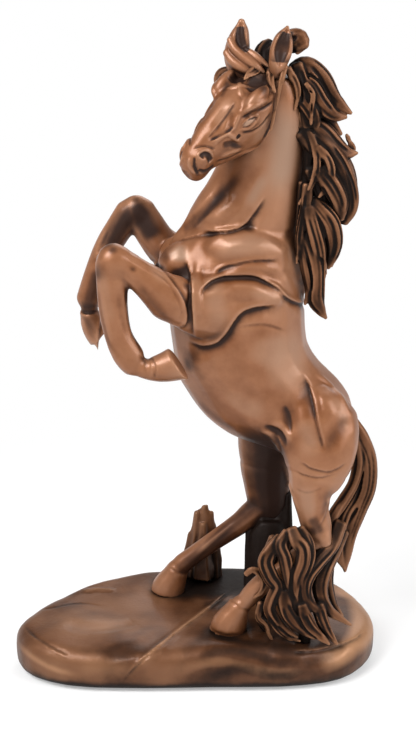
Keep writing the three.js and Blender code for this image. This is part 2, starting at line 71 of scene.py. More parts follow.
def photoRays(pixels):
    pixels = np.asarray(pixels, float)
    across = (pixels[:, 0] - photo["width"] / 2) / photo["focal"]
    up = (photo["height"] / 2 - pixels[:, 1]) / photo["focal"]
    ways = lookWay + across[:, None] * lookRight + up[:, None] * lookUp
    return ways / np.linalg.norm(ways, axis=1)[:, None]


def atDepth(rows):  # (pixel x, pixel y, depth y in mm, ...) to (x, y, z, ...) in mm
    rows = np.asarray(rows, float)
    ways = photoRays(rows)
    travel = (rows[:, 2] - eye[1]) / ways[:, 1]
    points = eye + travel[:, None] * ways
    return np.hstack([points, rows[:, 3:]])


def spline(rows, step):  # a smooth line through rows, about one step apart
    rows = np.asarray(rows, float)
    wide = np.vstack([2 * rows[0] - rows[1], rows, 2 * rows[-1] - rows[-2]])
    out = []
    for i in range(len(rows) - 1):
        a, b, c, d = wide[i:i + 4]
        reach = np.linalg.norm((c - b)[:3])
        count = max(2, int(math.ceil(reach / step)))
        t = np.linspace(0, 1, count, endpoint=False)[:, None]
        out.append(0.5 * (2 * b + (c - a) * t + (2 * a - 5 * b + 4 * c - d) * t ** 2
                          + (3 * b - a - 3 * c + d) * t ** 3))
    out.append(rows[-1:])
    return np.vstack(out)


# Clay: a signed distance field that tubes, balls and castings are joined into, and strokes are pressed into

def softMin(a, b, blend):
    if blend <= 0:
        return np.minimum(a, b)
    near = np.maximum(blend - np.abs(a - b), 0) / blend
    return np.minimum(a, b) - near * near * (blend / 4)


def blurred(values, spread):
    count = max(1, int(math.ceil(2.5 * spread)))
    weights = np.exp(-0.5 * (np.arange(-count, count + 1) / spread) ** 2)
    weights = (weights / weights.sum()).astype(np.float32)
    for axis in range(3):
        pad = [(0, 0)] * 3
        pad[axis] = (count, count)
        wide = np.pad(values, pad, mode="edge")
        total = np.zeros_like(values)
        size = values.shape[axis]
        for i, weight in enumerate(weights):
            part = [slice(None)] * 3
            part[axis] = slice(i, i + size)
            total += weight * wide[tuple(part)]
        values = total
    return values


def bump(share):  # 1 in the middle, 0 at the edge and past it
    return np.clip(1 - share * share, 0, 1) ** 2


def fade(along, ends):  # 0 at both ends of a stroke, 1 between
    t = np.clip(np.minimum(along, 1 - along) / max(ends, 1e-6), 0, 1)
    return t * t * (3 - 2 * t)


class Clay:
    def __init__(self, low, high, voxel, band, place=None):
        self.voxel = voxel
        self.band = band
        self.low = np.floor(np.asarray(low, float) / voxel) * voxel
        self.shape = tuple(int(n) + 1 for n in np.ceil((np.asarray(high, float) - self.low) / voxel))
        self.form = np.full(self.shape, band, np.float32)
        # how dark each place is painted: patina and painted shade
        self.patinaAndShade = np.zeros(self.shape, np.float32)
        # how much paler (painted sheen and highlight) or deeper (painted shade) each place is painted
        self.tint = np.zeros(self.shape, np.float32)
        self.place = np.eye(4) if place is None else np.array(place, float)
        self.toLocal = np.linalg.inv(self.place)
        self.axes = [(self.low[i] + voxel * np.arange(self.shape[i])).astype(np.float32) for i in range(3)]

    def local(self, points):
        return points @ self.toLocal[:3, :3].T + self.toLocal[:3, 3]

    def around(self, low, high):
        first = np.clip(np.floor((low - self.low) / self.voxel).astype(int), 0, self.shape)
        last = np.clip(np.ceil((high - self.low) / self.voxel).astype(int) + 1, 0, self.shape)
        part = tuple(slice(a, max(a, b)) for a, b in zip(first, last))
        x = self.axes[0][part[0]][:, None, None]
        y = self.axes[1][part[1]][None, :, None]
        z = self.axes[2][part[2]][None, None, :]
        return part, x, y, z

    def nearLine(self, line, reach):  # distance to a line, and how far along it the nearest point is
        points = line[:, :3].astype(np.float32)
        part = self.around(points.min(0) - reach, points.max(0) + reach)[0]
        size = [s.stop - s.start for s in part]
        away = np.full(size, reach, np.float32)
        along = np.zeros(size, np.float32)
        start = [s.start for s in part]
        count = len(points) - 1
        for i in range(count):
            a, b = points[i], points[i + 1]
            sub, x, y, z = self.around(np.minimum(a, b) - reach, np.maximum(a, b) + reach)
            if any(s.stop <= s.start for s in sub):
                continue
            inner = tuple(slice(s.start - o, s.stop - o) for s, o in zip(sub, start))
            ab = b - a
            t = ((x - a[0]) * ab[0] + (y - a[1]) * ab[1] + (z - a[2]) * ab[2]) / max(float(ab @ ab), 1e-9)
            t = np.clip(t, 0, 1)
            gap = np.sqrt((x - a[0] - t * ab[0]) ** 2 + (y - a[1] - t * ab[1]) ** 2
                          + (z - a[2] - t * ab[2]) ** 2)
            closer = gap < away[inner]
            away[inner] = np.where(closer, gap, away[inner])
            along[inner] = np.where(closer, (i + t) / count, along[inner])
        return part, away, along

    def addTube(self, line, blend=0.5):  # rows of x, y, z, radius
        radii = line[:, 3]
        part, away, along = self.nearLine(line, float(radii.max()) + self.band)
        shares = np.linspace(0, 1, len(radii))
        tube = away - np.interp(along, shares, radii).astype(np.float32)
        self.form[part] = softMin(self.form[part], np.minimum(tube, self.band), blend)

    def ball(self, centre, half, turn=None):
        centre = np.asarray(centre, float)
        half = np.asarray(half, float)
        reach = half.max() + self.band
        part, x, y, z = self.around(centre - reach, centre + reach)
        turn = np.eye(3) if turn is None else np.asarray(turn)
        x, y, z = x - centre[0], y - centre[1], z - centre[2]
        first, second = 0, 0
        for i in range(3):
            side = turn[0, i] * x + turn[1, i] * y + turn[2, i] * z
            first = first + (side / half[i]) ** 2
            second = second + (side / half[i] ** 2) ** 2
        first = np.sqrt(first)
        return part, np.minimum(first * (first - 1) / np.maximum(np.sqrt(second), 1e-6), self.band)

    def addBall(self, centre, half, blend=2.0, turn=None):
        part, shape = self.ball(centre, half, turn)
        self.form[part] = softMin(self.form[part], shape.astype(np.float32), blend)

    def cutBall(self, centre, half, blend=0.6, turn=None):
        part, shape = self.ball(centre, half, turn)
        self.form[part] = -softMin(-self.form[part], shape.astype(np.float32), blend)

    def addSkin(self, points, triangles, blend=1.0):
        points = self.local(points) - self.low
        grid = openvdb.FloatGrid.createLevelSetFromPolygons(
            points.astype(np.float32), triangles=triangles.astype(np.uint32),
            transform=openvdb.createLinearTransform(self.voxel), halfWidth=self.band / self.voxel)
        shape = np.full(self.shape, self.band, np.float32)
        grid.copyToArray(shape)
        self.form = softMin(self.form, np.clip(shape, -self.band, self.band), blend)

    def addNode(self, name, blend=1.0):
        self.addSkin(*nodeMesh(name), blend)

    def soften(self, spread, share=None):
        soft = blurred(self.form, spread / self.voxel)
        self.form = soft if share is None else self.form + share * (soft - self.form)

    def read(self, values, points):
        at = (points - self.low) / self.voxel
        at = np.clip(at, 0, np.array(self.shape) - 1.001)
        base = at.astype(int)
        t = at - base
        total = 0
        for corner in range(8):
            step = np.array([corner & 1, corner >> 1 & 1, corner >> 2 & 1])
            weight = np.prod(np.where(step, t, 1 - t), axis=1)
            total = total + weight * values[tuple((base + step).T)]
        return total

    def seen(self, pixels):  # where the photograph's rays first meet the clay
        ways = photoRays(pixels) @ self.toLocal[:3, :3].T
        start = self.local(eye[None])[0]
        size = np.array(self.shape) * self.voxel
        middle = np.linalg.norm(self.low + size / 2 - start)
        reach = np.linalg.norm(size) / 2
        travel = np.arange(middle - reach, middle + reach, 0.7 * self.voxel)
        points = start + travel[None, :, None] * ways[:, None, :]
        values = self.read(self.form, points.reshape(-1, 3)).reshape(len(ways), -1)
        inBox = ((points > self.low) & (points < self.low + size)).all(2)
        values = np.where(inBox, values, self.band)
        inside = values < 0
        index = np.where(inside.any(1), inside.argmax(1), values.argmin(1))
        return points[np.arange(len(ways)), index]

    def settled(self, points):  # moved on to the surface
        for _ in range(5):
            gap = self.read(self.form, points)
            slope = np.stack([self.read(self.form, points + self.voxel * e)
                              - self.read(self.form, points - self.voxel * e) for e in np.eye(3)], axis=1)
            slope /= np.maximum(np.linalg.norm(slope, axis=1), 1e-6)[:, None]
            points = points - np.clip(gap, -2, 2)[:, None] * slope
        return points

    def press(self, line, width, depth, ends=0.2):  # a positive depth carves, a negative one raises
        part, away, along = self.nearLine(line, width)
        self.form[part] += (depth * fade(along, ends) * bump(away / width)).astype(np.float32)

    def paint(self, line, width, amount, ends=0.1):
        part, away, along = self.nearLine(line, width)
        mark = (amount * fade(along, ends) * bump(away / width)).astype(np.float32)
        self.patinaAndShade[part] = np.maximum(self.patinaAndShade[part], mark)

    # painted sheen and highlight where positive, painted shade where negative
    def tone(self, path, width, amount, ends=0.35):  # paler where positive, deeper where negative
        part, away, along = self.nearLine(self.seen(spline(path, 4.0)), width)
        self.tint[part] += (amount * fade(along, ends) * bump(away / width)).astype(np.float32)

    def smudge(self, centre, radius, amount):
        part, x, y, z = self.around(centre - radius, centre + radius)
        away = np.sqrt((x - centre[0]) ** 2 + (y - centre[1]) ** 2 + (z - centre[2]) ** 2)
        self.patinaAndShade[part] = np.maximum(self.patinaAndShade[part], (amount * bump(away / radius)).astype(np.float32))

    def stroke(self, path, width, depth, patinaAndShade=0.0, patinaAndShadeWidth=None, ends=0.2, mirror=False):
        line = self.settled(self.seen(spline(path, 2.0)))
        lines = [line]
        if mirror:
            lines.append(self.settled(line * np.array([1.0, -1.0, 1.0])))
        for one in lines:
            self.press(one, width, depth, ends)
            if patinaAndShade:
                self.paint(one, patinaAndShadeWidth or 1.5 * width, patinaAndShade)

    def fold(self, path, soft, depth, patinaAndShade=0.0, lip=0.0, side=1, mirror=False, ends=0.18):
        # a step in the surface: sunk on one side of the path, with a slope back up, and a lip on the other
        line = self.settled(self.seen(spline(path, 2.0)))
        way = lookWay @ self.toLocal[:3, :3].T
        across = side * np.cross(way, np.gradient(line, axis=0))
        across /= np.maximum(np.linalg.norm(across, axis=1), 1e-6)[:, None]
        for flip in ((1, 1, 1), (1, -1, 1)) if mirror else ((1, 1, 1),):
            one = line * np.array(flip)
            if flip[1] < 0:
                one = self.settled(one)
            turned = across * np.array(flip)
            part, away, along = self.nearLine(one, soft)
            at = along * (len(one) - 1)
            first = np.minimum(at.astype(int), len(one) - 2)
            share = (at - first)[..., None]
            nearest = one[first] * (1 - share) + one[first + 1] * share
            sides = [self.axes[i][part[i]] for i in range(3)]
            spots = np.stack(np.meshgrid(*sides, indexing="ij"), axis=-1)
            lean = ((spots - nearest) * turned[first]).sum(-1)
            sunk = np.clip(0.5 + lean / (1.4 * self.voxel), 0, 1)
            slope = np.clip(1 - away / soft, 0, 1) ** 1.5
            level = fade(along, ends)
            rise = (1 - sunk) * lip * bump(away / (0.7 * soft))
            self.form[part] += (level * (sunk * depth * slope - rise)).astype(np.float32)
            # patina and painted shade on the sunk side, and a thin dark line on the lip
            mark = patinaAndShade * level * (sunk * slope + (1 - sunk) * bump(away / (2 * self.voxel)))
            self.patinaAndShade[part] = np.maximum(self.patinaAndShade[part], mark.astype(np.float32))

    def finish(self, name, material, creaseSpread=0.9, hollowSpread=4.0):
        grid = openvdb.FloatGrid(self.band)
        grid.copyFromArray(self.form)
        grid.transform = openvdb.createLinearTransform(self.voxel)
        points, triangles, quads = grid.convertToPolygons(0.0, 0.0)
        points = points.astype(float) + self.low
        crease = -self.read(blurred(self.form, creaseSpread / self.voxel), points) / creaseSpread
        hollow = -self.read(blurred(self.form, hollowSpread / self.voxel), points) / hollowSpread
        patinaAndShade = self.read(self.patinaAndShade, points)
        tint = self.read(self.tint, points)
        step = 1.5 * self.voxel
        slope = np.stack([self.read(self.form, points + step * e) - self.read(self.form, points - step * e)
                          for e in np.eye(3)], axis=1) @ self.place[:3, :3].T
        # painted shade on what faces down
        underShade = np.clip(0.15 - slope[:, 2] / np.maximum(np.linalg.norm(slope, axis=1), 1e-6), 0, 1)
        world = points @ self.place[:3, :3].T + self.place[:3, 3]
        piece = meshPiece(name, world * mm, triangles, quads)
        for label, values in (("crease", crease), ("hollow", hollow), ("patinaAndShade", patinaAndShade), ("underShade", underShade),
                              ("tint", tint)):
            layer = piece.data.attributes.new(label, "FLOAT", "POINT")
            layer.data.foreach_set("value", values.astype(np.float32))
        piece.data.materials.append(material)
        print("made", name, len(points), "points")
        return piece


def nodeMesh(name):  # a packed casting's points in mm, and its triangles
    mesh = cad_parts[name].data
    points = np.empty(len(mesh.vertices) * 3, np.float32)
    mesh.vertices.foreach_get("co", points)
    mesh.calc_loop_triangles()
    triangles = np.empty(len(mesh.loop_triangles) * 3, np.int32)
    mesh.loop_triangles.foreach_get("vertices", triangles)
    return points.reshape(-1, 3).astype(float) / mm, triangles.reshape(-1, 3)


def nodeBox(*names):
    boxes = [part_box(name) for name in names]
    low = np.min([np.array(b[0]) for b in boxes], axis=0) / mm
    high = np.max([np.array(b[1]) for b in boxes], axis=0) / mm
    return low, high


def meshPiece(name, points, triangles, quads):
    mesh = bpy.data.meshes.new(name)
    corners = np.concatenate([triangles.ravel(), quads.ravel()]).astype(np.int32)
    starts = np.concatenate([
        3 * np.arange(len(triangles)),
        3 * len(triangles) + 4 * np.arange(len(quads)),
    ]).astype(np.int32)
    mesh.vertices.add(len(points))
    mesh.vertices.foreach_set("co", points.astype(np.float32).ravel())
    mesh.loops.add(len(corners))
    mesh.loops.foreach_set("vertex_index", corners)
    mesh.polygons.add(len(starts))
    mesh.polygons.foreach_set("loop_start", starts)
    mesh.update(calc_edges=True)
    mesh.validate()
    faces = quads if len(quads) else triangles
    first, second, third = (points[faces[:, i]] for i in range(3))
    if np.einsum("ij,ij->i", first, np.cross(second, third)).sum() < 0:
        mesh.flip_normals()
    mesh.shade_smooth()
    piece = bpy.data.objects.new(name, mesh)
    bpy.context.scene.collection.objects.link(piece)
    return piece


def closedRings(rings):
    count, sides = rings.shape[:2]
    points = np.vstack([rings.reshape(-1, 3), rings[0].mean(0), rings[-1].mean(0)])
    triangles = []
    for i in range(count - 1):
        for j in range(sides):
            a, b = i * sides + j, i * sides + (j + 1) % sides
            triangles.append((a, b, b + sides))
            triangles.append((a, b + sides, a + sides))
    first, last = count * sides, count * sides + 1
    for j in range(sides):
        after = (j + 1) % sides
        triangles.append((first, after, j))
        triangles.append((last, (count - 1) * sides + j, (count - 1) * sides + after))
    return points, np.array(triangles)


def trim(clay, others, overlap=0.4):  # keeps a piece out of the flesh under it
    x, y, z = np.meshgrid(*clay.axes, indexing="ij")
    near = np.abs(clay.form) < clay.band
    points = np.stack([x[near], y[near], z[near]], axis=1).astype(float)
    points = points @ clay.place[:3, :3].T + clay.place[:3, 3]
    values = clay.form[near]
    for other in others:
        spots = other.local(points)
        gap = other.read(other.form, spots) + overlap
        top = other.low + np.array(other.shape) * other.voxel
        inside = ((spots > other.low) & (spots < top)).all(1)
        values = np.where(inside, np.maximum(values, -gap), values)
    clay.form[near] = values.astype(np.float32)


def place(piece, slot, *nodes):  # rides on the one body and stands for its castings
    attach(piece, "root")
    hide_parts(*nodes)


# Finishes

copperLook = {
    "light": (0.31, 0.133, 0.062),
    # deeper copper, for random patches and for painted shade
    "deep": (0.18, 0.058, 0.016),
    # paler copper, for random pale patches and for painted sheen
    "paleAndSheen": (0.33, 0.193, 0.124),
    "worn": (0.46, 0.255, 0.155),
    # near black, for patina and for painted shade
    "patinaShadeColour": (0.03, 0.013, 0.0085),
    "underShadeGain": 0.32,   # painted shade on what faces down
    "uneven": 0.5,       # how patchy the patina is
    "metallic": 0.35,
    "roughness": 0.46,
    "coat": 0.36,
    "coatRoughness": 0.24,
    "specular": 0.25,
    "creaseGain": 1.0,   # darker in fine creases
    "hollowGain": 0.8,   # and in wider hollows
    "rub": 0.8,          # how far ridges are rubbed bright
    "gap": 0.007,        # metres within which a closed-in place is darkened, with patina and painted shade
    "gapGain": 0.7,
    "shade": 0.05,       # and the same for wide places, with painted shade
    "shadeGain": 0.3,
    "mottle": 55.0,      # scale of the small patches
    "cloud": 17.0,       # and of the large ones
    "relief": 0.12,      # how rough the skin is
    "reliefHeight": 0.0004,
}


def copperFinish(name, look):
    material = bpy.data.materials.new(name)
    material.use_nodes = True
    nodes = material.node_tree.nodes
    links = material.node_tree.links
    shader = nodes["Principled BSDF"]
    shader.inputs["Coat Roughness"].default_value = look["coatRoughness"]
    shader.inputs["Metallic"].default_value = look["metallic"]
    shader.inputs["Specular IOR Level"].default_value = look["specular"]

    def maths(kind, a, b=None, clamp=False):
        node = nodes.new("ShaderNodeMath")
        node.operation = kind
        node.use_clamp = clamp
        for socket, value in zip(node.inputs, (a, b)):
            if isinstance(value, (int, float)):
                socket.default_value = value
            elif value is not None:
                links.new(value, socket)
        return node.outputs[0]

    def attribute(label):
        node = nodes.new("ShaderNodeAttribute")
        node.attribute_name = label
        return node.outputs["Fac"]

    def noise(scale, detail, rough=0.5):
        node = nodes.new("ShaderNodeTexNoise")
        node.inputs["Scale"].default_value = scale
        node.inputs["Detail"].default_value = detail
        node.inputs["Roughness"].default_value = rough
        links.new(spot.outputs["Object"], node.inputs["Vector"])
        return node.outputs["Fac"]

    def closedIn(distance):
        node = nodes.new("ShaderNodeAmbientOcclusion")
        node.samples = 8
        node.inputs["Distance"].default_value = distance
        return maths("SUBTRACT", 1.0, node.outputs["AO"])

    def mix(share, a, b):
        node = nodes.new("ShaderNodeMix")
        node.data_type = "RGBA"
        links.new(share, node.inputs["Factor"])
        for socket, value in zip((node.inputs[6], node.inputs[7]), (a, b)):
            if isinstance(value, tuple):
                socket.default_value = (*value, 1)
            else:
                links.new(value, socket)
        return node.outputs[2]

    spot = nodes.new("ShaderNodeTexCoord")
    mottle = noise(look["mottle"], 4, 0.6)
    grain = noise(look["mottle"] * 14, 3, 0.6)
    cloud = noise(look["cloud"], 3, 0.55)
    crease = maths("MULTIPLY", attribute("crease"), look["creaseGain"])
    hollow = maths("MULTIPLY", attribute("hollow"), look["hollowGain"])
    # patina and painted shade, summed from creases, hollows, painted marks, what faces down and closed-in
    # places
    patinaAndShadeSum = maths("ADD", crease, maths("MAXIMUM", hollow, 0.0))
    patinaAndShadeSum = maths("ADD", patinaAndShadeSum, attribute("patinaAndShade"))
    # painted shade on what faces down
    patinaAndShadeSum = maths("ADD", patinaAndShadeSum, maths("MULTIPLY", attribute("underShade"), look["underShadeGain"]))
    # closed-in places: patina and painted shade; wide closed-in places: painted shade
    patinaAndShadeSum = maths("ADD", patinaAndShadeSum, maths("MULTIPLY", closedIn(look["gap"]), look["gapGain"]))
    patinaAndShadeSum = maths("ADD", patinaAndShadeSum, maths("MULTIPLY", closedIn(look["shade"]), look["shadeGain"]))
    # painted sheen where the tint is positive, painted shade where it is negative
    tint = attribute("tint")
    patch = maths("MULTIPLY", maths("SUBTRACT", mottle, 0.38), 1.9)
    patch = maths("ADD", patch, maths("MULTIPLY", maths("SUBTRACT", cloud, 0.44), 3.2))
    patch = maths("SUBTRACT", patch, tint, clamp=True)
    uneven = maths("MULTIPLY", maths("SUBTRACT", mottle, 0.5), look["uneven"])
    patinaAndShadeSum = maths("ADD", patinaAndShadeSum, uneven, clamp=True)
    shape = nodes.new("ShaderNodeMapRange")
    shape.interpolation_type = "SMOOTHSTEP"
    shape.inputs["From Min"].default_value = 0.12
    shape.inputs["From Max"].default_value = 0.98
    links.new(patinaAndShadeSum, shape.inputs["Value"])
    dark = shape.outputs["Result"]
    # deeper copper in random patches and in painted shade
    deepPatchAndShade = maths("ADD", maths("MULTIPLY", patch, 0.75), maths("MULTIPLY", patinaAndShadeSum, 0.9), clamp=True)
    colour = mix(deepPatchAndShade, look["light"], look["deep"])
    # paler copper in random patches and in painted sheen
    paleAndSheen = maths("MULTIPLY", maths("SUBTRACT", 0.5, cloud), 1.2)
    paleAndSheen = maths("ADD", paleAndSheen, tint, clamp=True)
    colour = mix(paleAndSheen, colour, look["paleAndSheen"])
    rubbed = maths("MULTIPLY", attribute("crease"), -look["rub"])
    rubbed = maths("SUBTRACT", rubbed, 0.06, clamp=True)
    colour = mix(rubbed, colour, look["worn"])
    # near black where patina and painted shade are strong
    colour = mix(dark, colour, look["patinaShadeColour"])
    links.new(colour, shader.inputs["Base Color"])
    clean = maths("SUBTRACT", 1.0, maths("MULTIPLY", dark, 0.85))
    links.new(maths("MULTIPLY", clean, look["coat"]), shader.inputs["Coat Weight"])
    rough = maths("ADD", maths("MULTIPLY", grain, 0.12), look["roughness"] - 0.06)
    rough = maths("ADD", rough, maths("MULTIPLY", dark, 0.12), clamp=True)
    links.new(rough, shader.inputs["Roughness"])
    relief = nodes.new("ShaderNodeBump")
    relief.inputs["Strength"].default_value = look["relief"]
    relief.inputs["Distance"].default_value = look["reliefHeight"]
    links.new(maths("ADD", grain, mottle), relief.inputs["Height"])
    links.new(relief.outputs["Normal"], shader.inputs["Normal"])
    return material


bodyFinish = copperFinish("copper_body", copperLook)
hairFinish = copperFinish("copper_hair", {
    **copperLook,
    "light": (0.19, 0.08, 0.037),
    "deep": (0.085, 0.03, 0.01),
    "paleAndSheen": (0.25, 0.125, 0.067),
    "worn": (0.36, 0.18, 0.095),
    "patinaShadeColour": (0.007, 0.0034, 0.0022),
    "coat": 0.08,
    "specular": 0.13,
    "creaseGain": 1.9,
    "hollowGain": 1.0,
    "rub": 1.1,
    "gapGain": 0.95,
    "shadeGain": 0.5,
})
groundFinish = copperFinish("copper_ground", {
    **copperLook,
    "light": (0.142, 0.057, 0.025),
    "deep": (0.06, 0.021, 0.007),
    "paleAndSheen": (0.36, 0.185, 0.095),
    "worn": (0.36, 0.19, 0.1),
    "patinaShadeColour": (0.01, 0.0048, 0.003),
    "coat": 0.16,
    "specular": 0.18,
    "uneven": 1.3,
    "shadeGain": 0.45,
    "mottle": 38.0,
    "cloud": 20.0,
    "relief": 0.4,
})


# Body: trunk, neck and legs in one skin

body = {
    "voxel": 0.7,
    "band": 8.0,
    "seam": 1.0,        # how far the castings run together at their seams
    "flesh": 2.4,       # smoothing over the trunk
    "bone": 0.8,        # smoothing over the legs
    "line": 0.75,       # how dark the folds are painted
    "room": 7.0,        # free space kept round the castings
    "mirrorPast": 196,  # forms behind this pixel column and above this pixel row show on both sides
    "mirrorAbove": 455,
}
bodyNodes = ["trunk", "neck", "left_foreleg", "right_foreleg", "left_hind_leg", "right_hind_leg"]
bodyCores = ["left_hind_rod", "right_hind_rod", "neck_dowel", "left_foreleg_dowel", "right_foreleg_dowel",
             "tail_dowel", "head_dowel"]

# soft forms: path in the photograph, half width, depth (raised when negative), patina and painted shade
bodyRolls = [
    ([(206, 258), (225, 251), (250, 247), (280, 248), (298, 260)], 6.0, -1.0, 0),
    ([(222, 274), (236, 270), (250, 268), (270, 271), (288, 282), (300, 293)], 4.6, -1.2, 0),
    ([(206, 312), (214, 298), (232, 289), (252, 290), (277, 300)], 6.5, -1.3, 0),
    ([(199, 256), (197, 286), (200, 322)], 3.0, -1.1, 0),
    ([(299, 266), (303, 280), (301, 294)], 7.0, -2.0, 0),
    ([(238, 196), (224, 212), (208, 226)], 5.0, -1.2, 0),
    ([(228, 181), (219, 195), (208, 207), (193, 221), (181, 233)], 4.4, 1.5, 0.5),
    ([(256, 206), (250, 222), (243, 230)], 6.0, 0.8, 0.25),
    ([(312, 371), (328, 383), (342, 398), (351, 415)], 2.6, -0.9, 0),
    ([(322, 388), (329, 404), (333, 420)], 6.4, -0.8, 0),
    ([(296, 396), (303, 415), (311, 440)], 6.4, -0.8, 0),
    ([(352, 409), (341, 427), (330, 442), (319, 456)], 8.0, 1.2, 0),
    ([(300, 432), (308, 443), (319, 450)], 3.2, 0.4, 0.1),
    ([(286, 400), (288, 413), (290, 424), (292, 436)], 6.0, 0.6, 0),
    ([(258, 429), (270, 434), (278, 445), (282, 458)], 2.6, -1.3, 0),
    ([(268, 422), (281, 425), (289, 435), (291, 447)], 2.6, -1.1, 0),
    ([(262, 426), (275, 430), (283, 438), (285, 449)], 2.2, 2.0, 0.4),
    ([(283, 456), (287, 475), (293, 495), (301, 518)], 2.2, -0.8, 0),
    ([(102, 285), (107, 318), (114, 348)], 2.0, -0.6, 0),
    ([(118, 286), (121, 316), (130, 346)], 2.4, 0.6, 0.1),
    ([(112, 222), (101, 246), (91, 272)], 2.0, 0.5, 0.15),
    ([(190, 560), (212, 541), (236, 521)], 2.0, -0.6, 0),
    ([(322, 534), (327, 540), (330, 546)], 5.4, -1.6, 0),
    ([(326, 492), (331, 512), (335, 530)], 2.2, -0.9, 0),
]
# folds: path, slope, depth, patina and painted shade, lip, and the side that is sunk
bodyFolds = [
    ([(198, 232), (215, 232), (232, 231), (245, 225), (253, 215), (260, 205), (267, 194)],
     6.0, 1.3, 0.5, 0.5, 1),
    ([(176, 241), (192, 237), (208, 234), (222, 234)], 3.0, 0.6, 0.3, 0.2, 1),
    ([(212, 278), (222, 268), (236, 264), (250, 261), (266, 260), (282, 260)], 3.2, 0.9, 0.45, 0.5, 1),
    ([(198, 299), (204, 288), (212, 281), (224, 277), (240, 276), (255, 277), (268, 283), (278, 289),
      (288, 298)], 5.5, 1.6, 0.5, 0.7, 1),
    ([(280, 293), (292, 301), (303, 303), (309, 297)], 4.0, 1.3, 0.5, 0.6, 1),
    ([(186, 340), (203, 346), (217, 343), (227, 333), (234, 322), (243, 312), (258, 307), (281, 305)],
     7.0, 2.2, 0.6, 0.8, 1),
    ([(236, 327), (255, 324), (270, 325), (287, 331)], 2.6, 0.5, 0.35, 0.2, 1),
    ([(185, 258), (190, 276), (191, 292), (192, 312), (194, 338)], 4.4, 1.8, 0.7, 0.7, 1),
    ([(126, 253), (145, 260), (162, 270), (176, 287), (185, 303), (188, 316), (184, 326), (172, 327)],
     2.8, 1.1, 0.8, 0.5, -1),
    ([(148, 268), (166, 282), (177, 300), (181, 314), (175, 321)], 1.8, 0.5, 0.4, 0.2, -1),
    ([(124, 286), (127, 310), (132, 333), (142, 354)], 3.0, 0.9, 0.8, 0.2, -1),
    ([(303, 372), (310, 389), (314, 404), (317, 420), (322, 440), (325, 452)], 10.0, 1.6, 0.2, 0.15, 1),
    ([(285, 404), (290, 415), (292, 426), (290, 437)], 4.0, 0.8, 0.3, 0.15, 1),
    ([(317, 389), (321, 400), (323, 412)], 2.0, 0.4, 0.2, 0.2, 1),
    ([(298, 461), (305, 464), (312, 468), (330, 471), (349, 461)], 2.2, 0.8, 0.6, 0.5, 1),
    ([(295, 470), (305, 475), (320, 477), (340, 472)], 1.8, 0.6, 0.5, 0.3, 1),
    ([(295, 488), (308, 492), (324, 486)], 2.0, 0.4, 0.3, 0.2, 1),
    ([(330, 498), (326, 512), (320, 526)], 2.6, 0.8, 0.4, 0.3, -1),
    ([(151, 355), (156, 366), (155, 379)], 2.0, 0.6, 0.5, 0.3, 1),
    ([(139, 354), (146, 363), (146, 375)], 2.2, 0.4, 0.35, 0.2, 1),
    ([(78, 307), (88, 312), (99, 309)], 2.2, 0.7, 0.6, 0.3, 1),
    ([(229, 599), (240, 606), (251, 611)], 1.8, 0.5, 0.4, 0.2, 1),
    ([(169, 566), (179, 572), (190, 573)], 1.8, 0.5, 0.4, 0.2, 1),
]
# painted shade and patina in pits and hollows
bodyShadeSpots = [  # where in the photograph, radius, amount
    ((180, 274), 6, 0.8), ((186, 286), 4, 0.6), ((194, 356), 6, 0.45), ((113, 250), 4.4, 0.8),
    ((136, 201), 4.4, 0.8), ((222, 242), 4, 0.3), ((286, 235), 4, 0.35), ((133, 269), 3, 0.7),
    ((101, 277), 2.5, 0.4), ((315, 530), 4.5, 0.6), ((188, 365), 6, 0.3), ((292, 491), 2.5, 0.5),
    ((319, 527), 4, 0.8), ((312, 522), 3, 0.4), ((166, 254), 8, 0.6),
]
bodyShades = [  # path in the photograph, half width, amount
    ([(272, 415), (268, 440), (268, 470), (274, 505), (280, 540)], 22, 0.85),
    ([(290, 474), (244, 512), (214, 541), (160, 586)], 9, 0.8),
    ([(104, 256), (116, 232), (126, 216), (140, 204)], 9, 0.85),
    ([(128, 200), (140, 212), (150, 228), (158, 242)], 9, 1.0),
    ([(104, 252), (94, 284), (88, 310), (98, 345)], 7, 0.7),
    ([(190, 392), (214, 416), (240, 432), (275, 444)], 6, 0.3),
    ([(246, 168), (230, 186), (212, 208), (184, 238)], 5, 0.7),
    ([(296, 372), (303, 386), (309, 402), (316, 426)], 8, 0.3),
    ([(352, 406), (340, 426), (331, 440), (318, 458)], 6.5, 0.42),
    ([(331, 482), (326, 503), (321, 526)], 4.4, 0.35),
    ([(284, 396), (286, 410), (289, 424), (290, 442)], 5, 0.2),
    ([(120, 242), (146, 256), (168, 274), (182, 292)], 3, 0.35),
    ([(134, 280), (152, 300), (172, 324)], 4, 0.4),
    ([(95, 262), (99, 300), (108, 340), (124, 364)], 2.6, 0.4),
    ([(310, 515), (318, 526), (322, 536)], 4.4, 0.7),
    ([(298, 386), (294, 372), (298, 360)], 7, 0.2),
    ([(206, 296), (214, 284), (228, 280)], 4, 0.4),
    ([(196, 338), (218, 336), (236, 320), (252, 312)], 5, 0.3),
    ([(126, 290), (130, 322), (140, 350), (150, 362)], 3, 0.5),
    ([(188, 352), (194, 366), (206, 384)], 5, 0.25),
    ([(303, 80), (306, 140), (304, 180), (296, 250)], 5, 0.4),
]
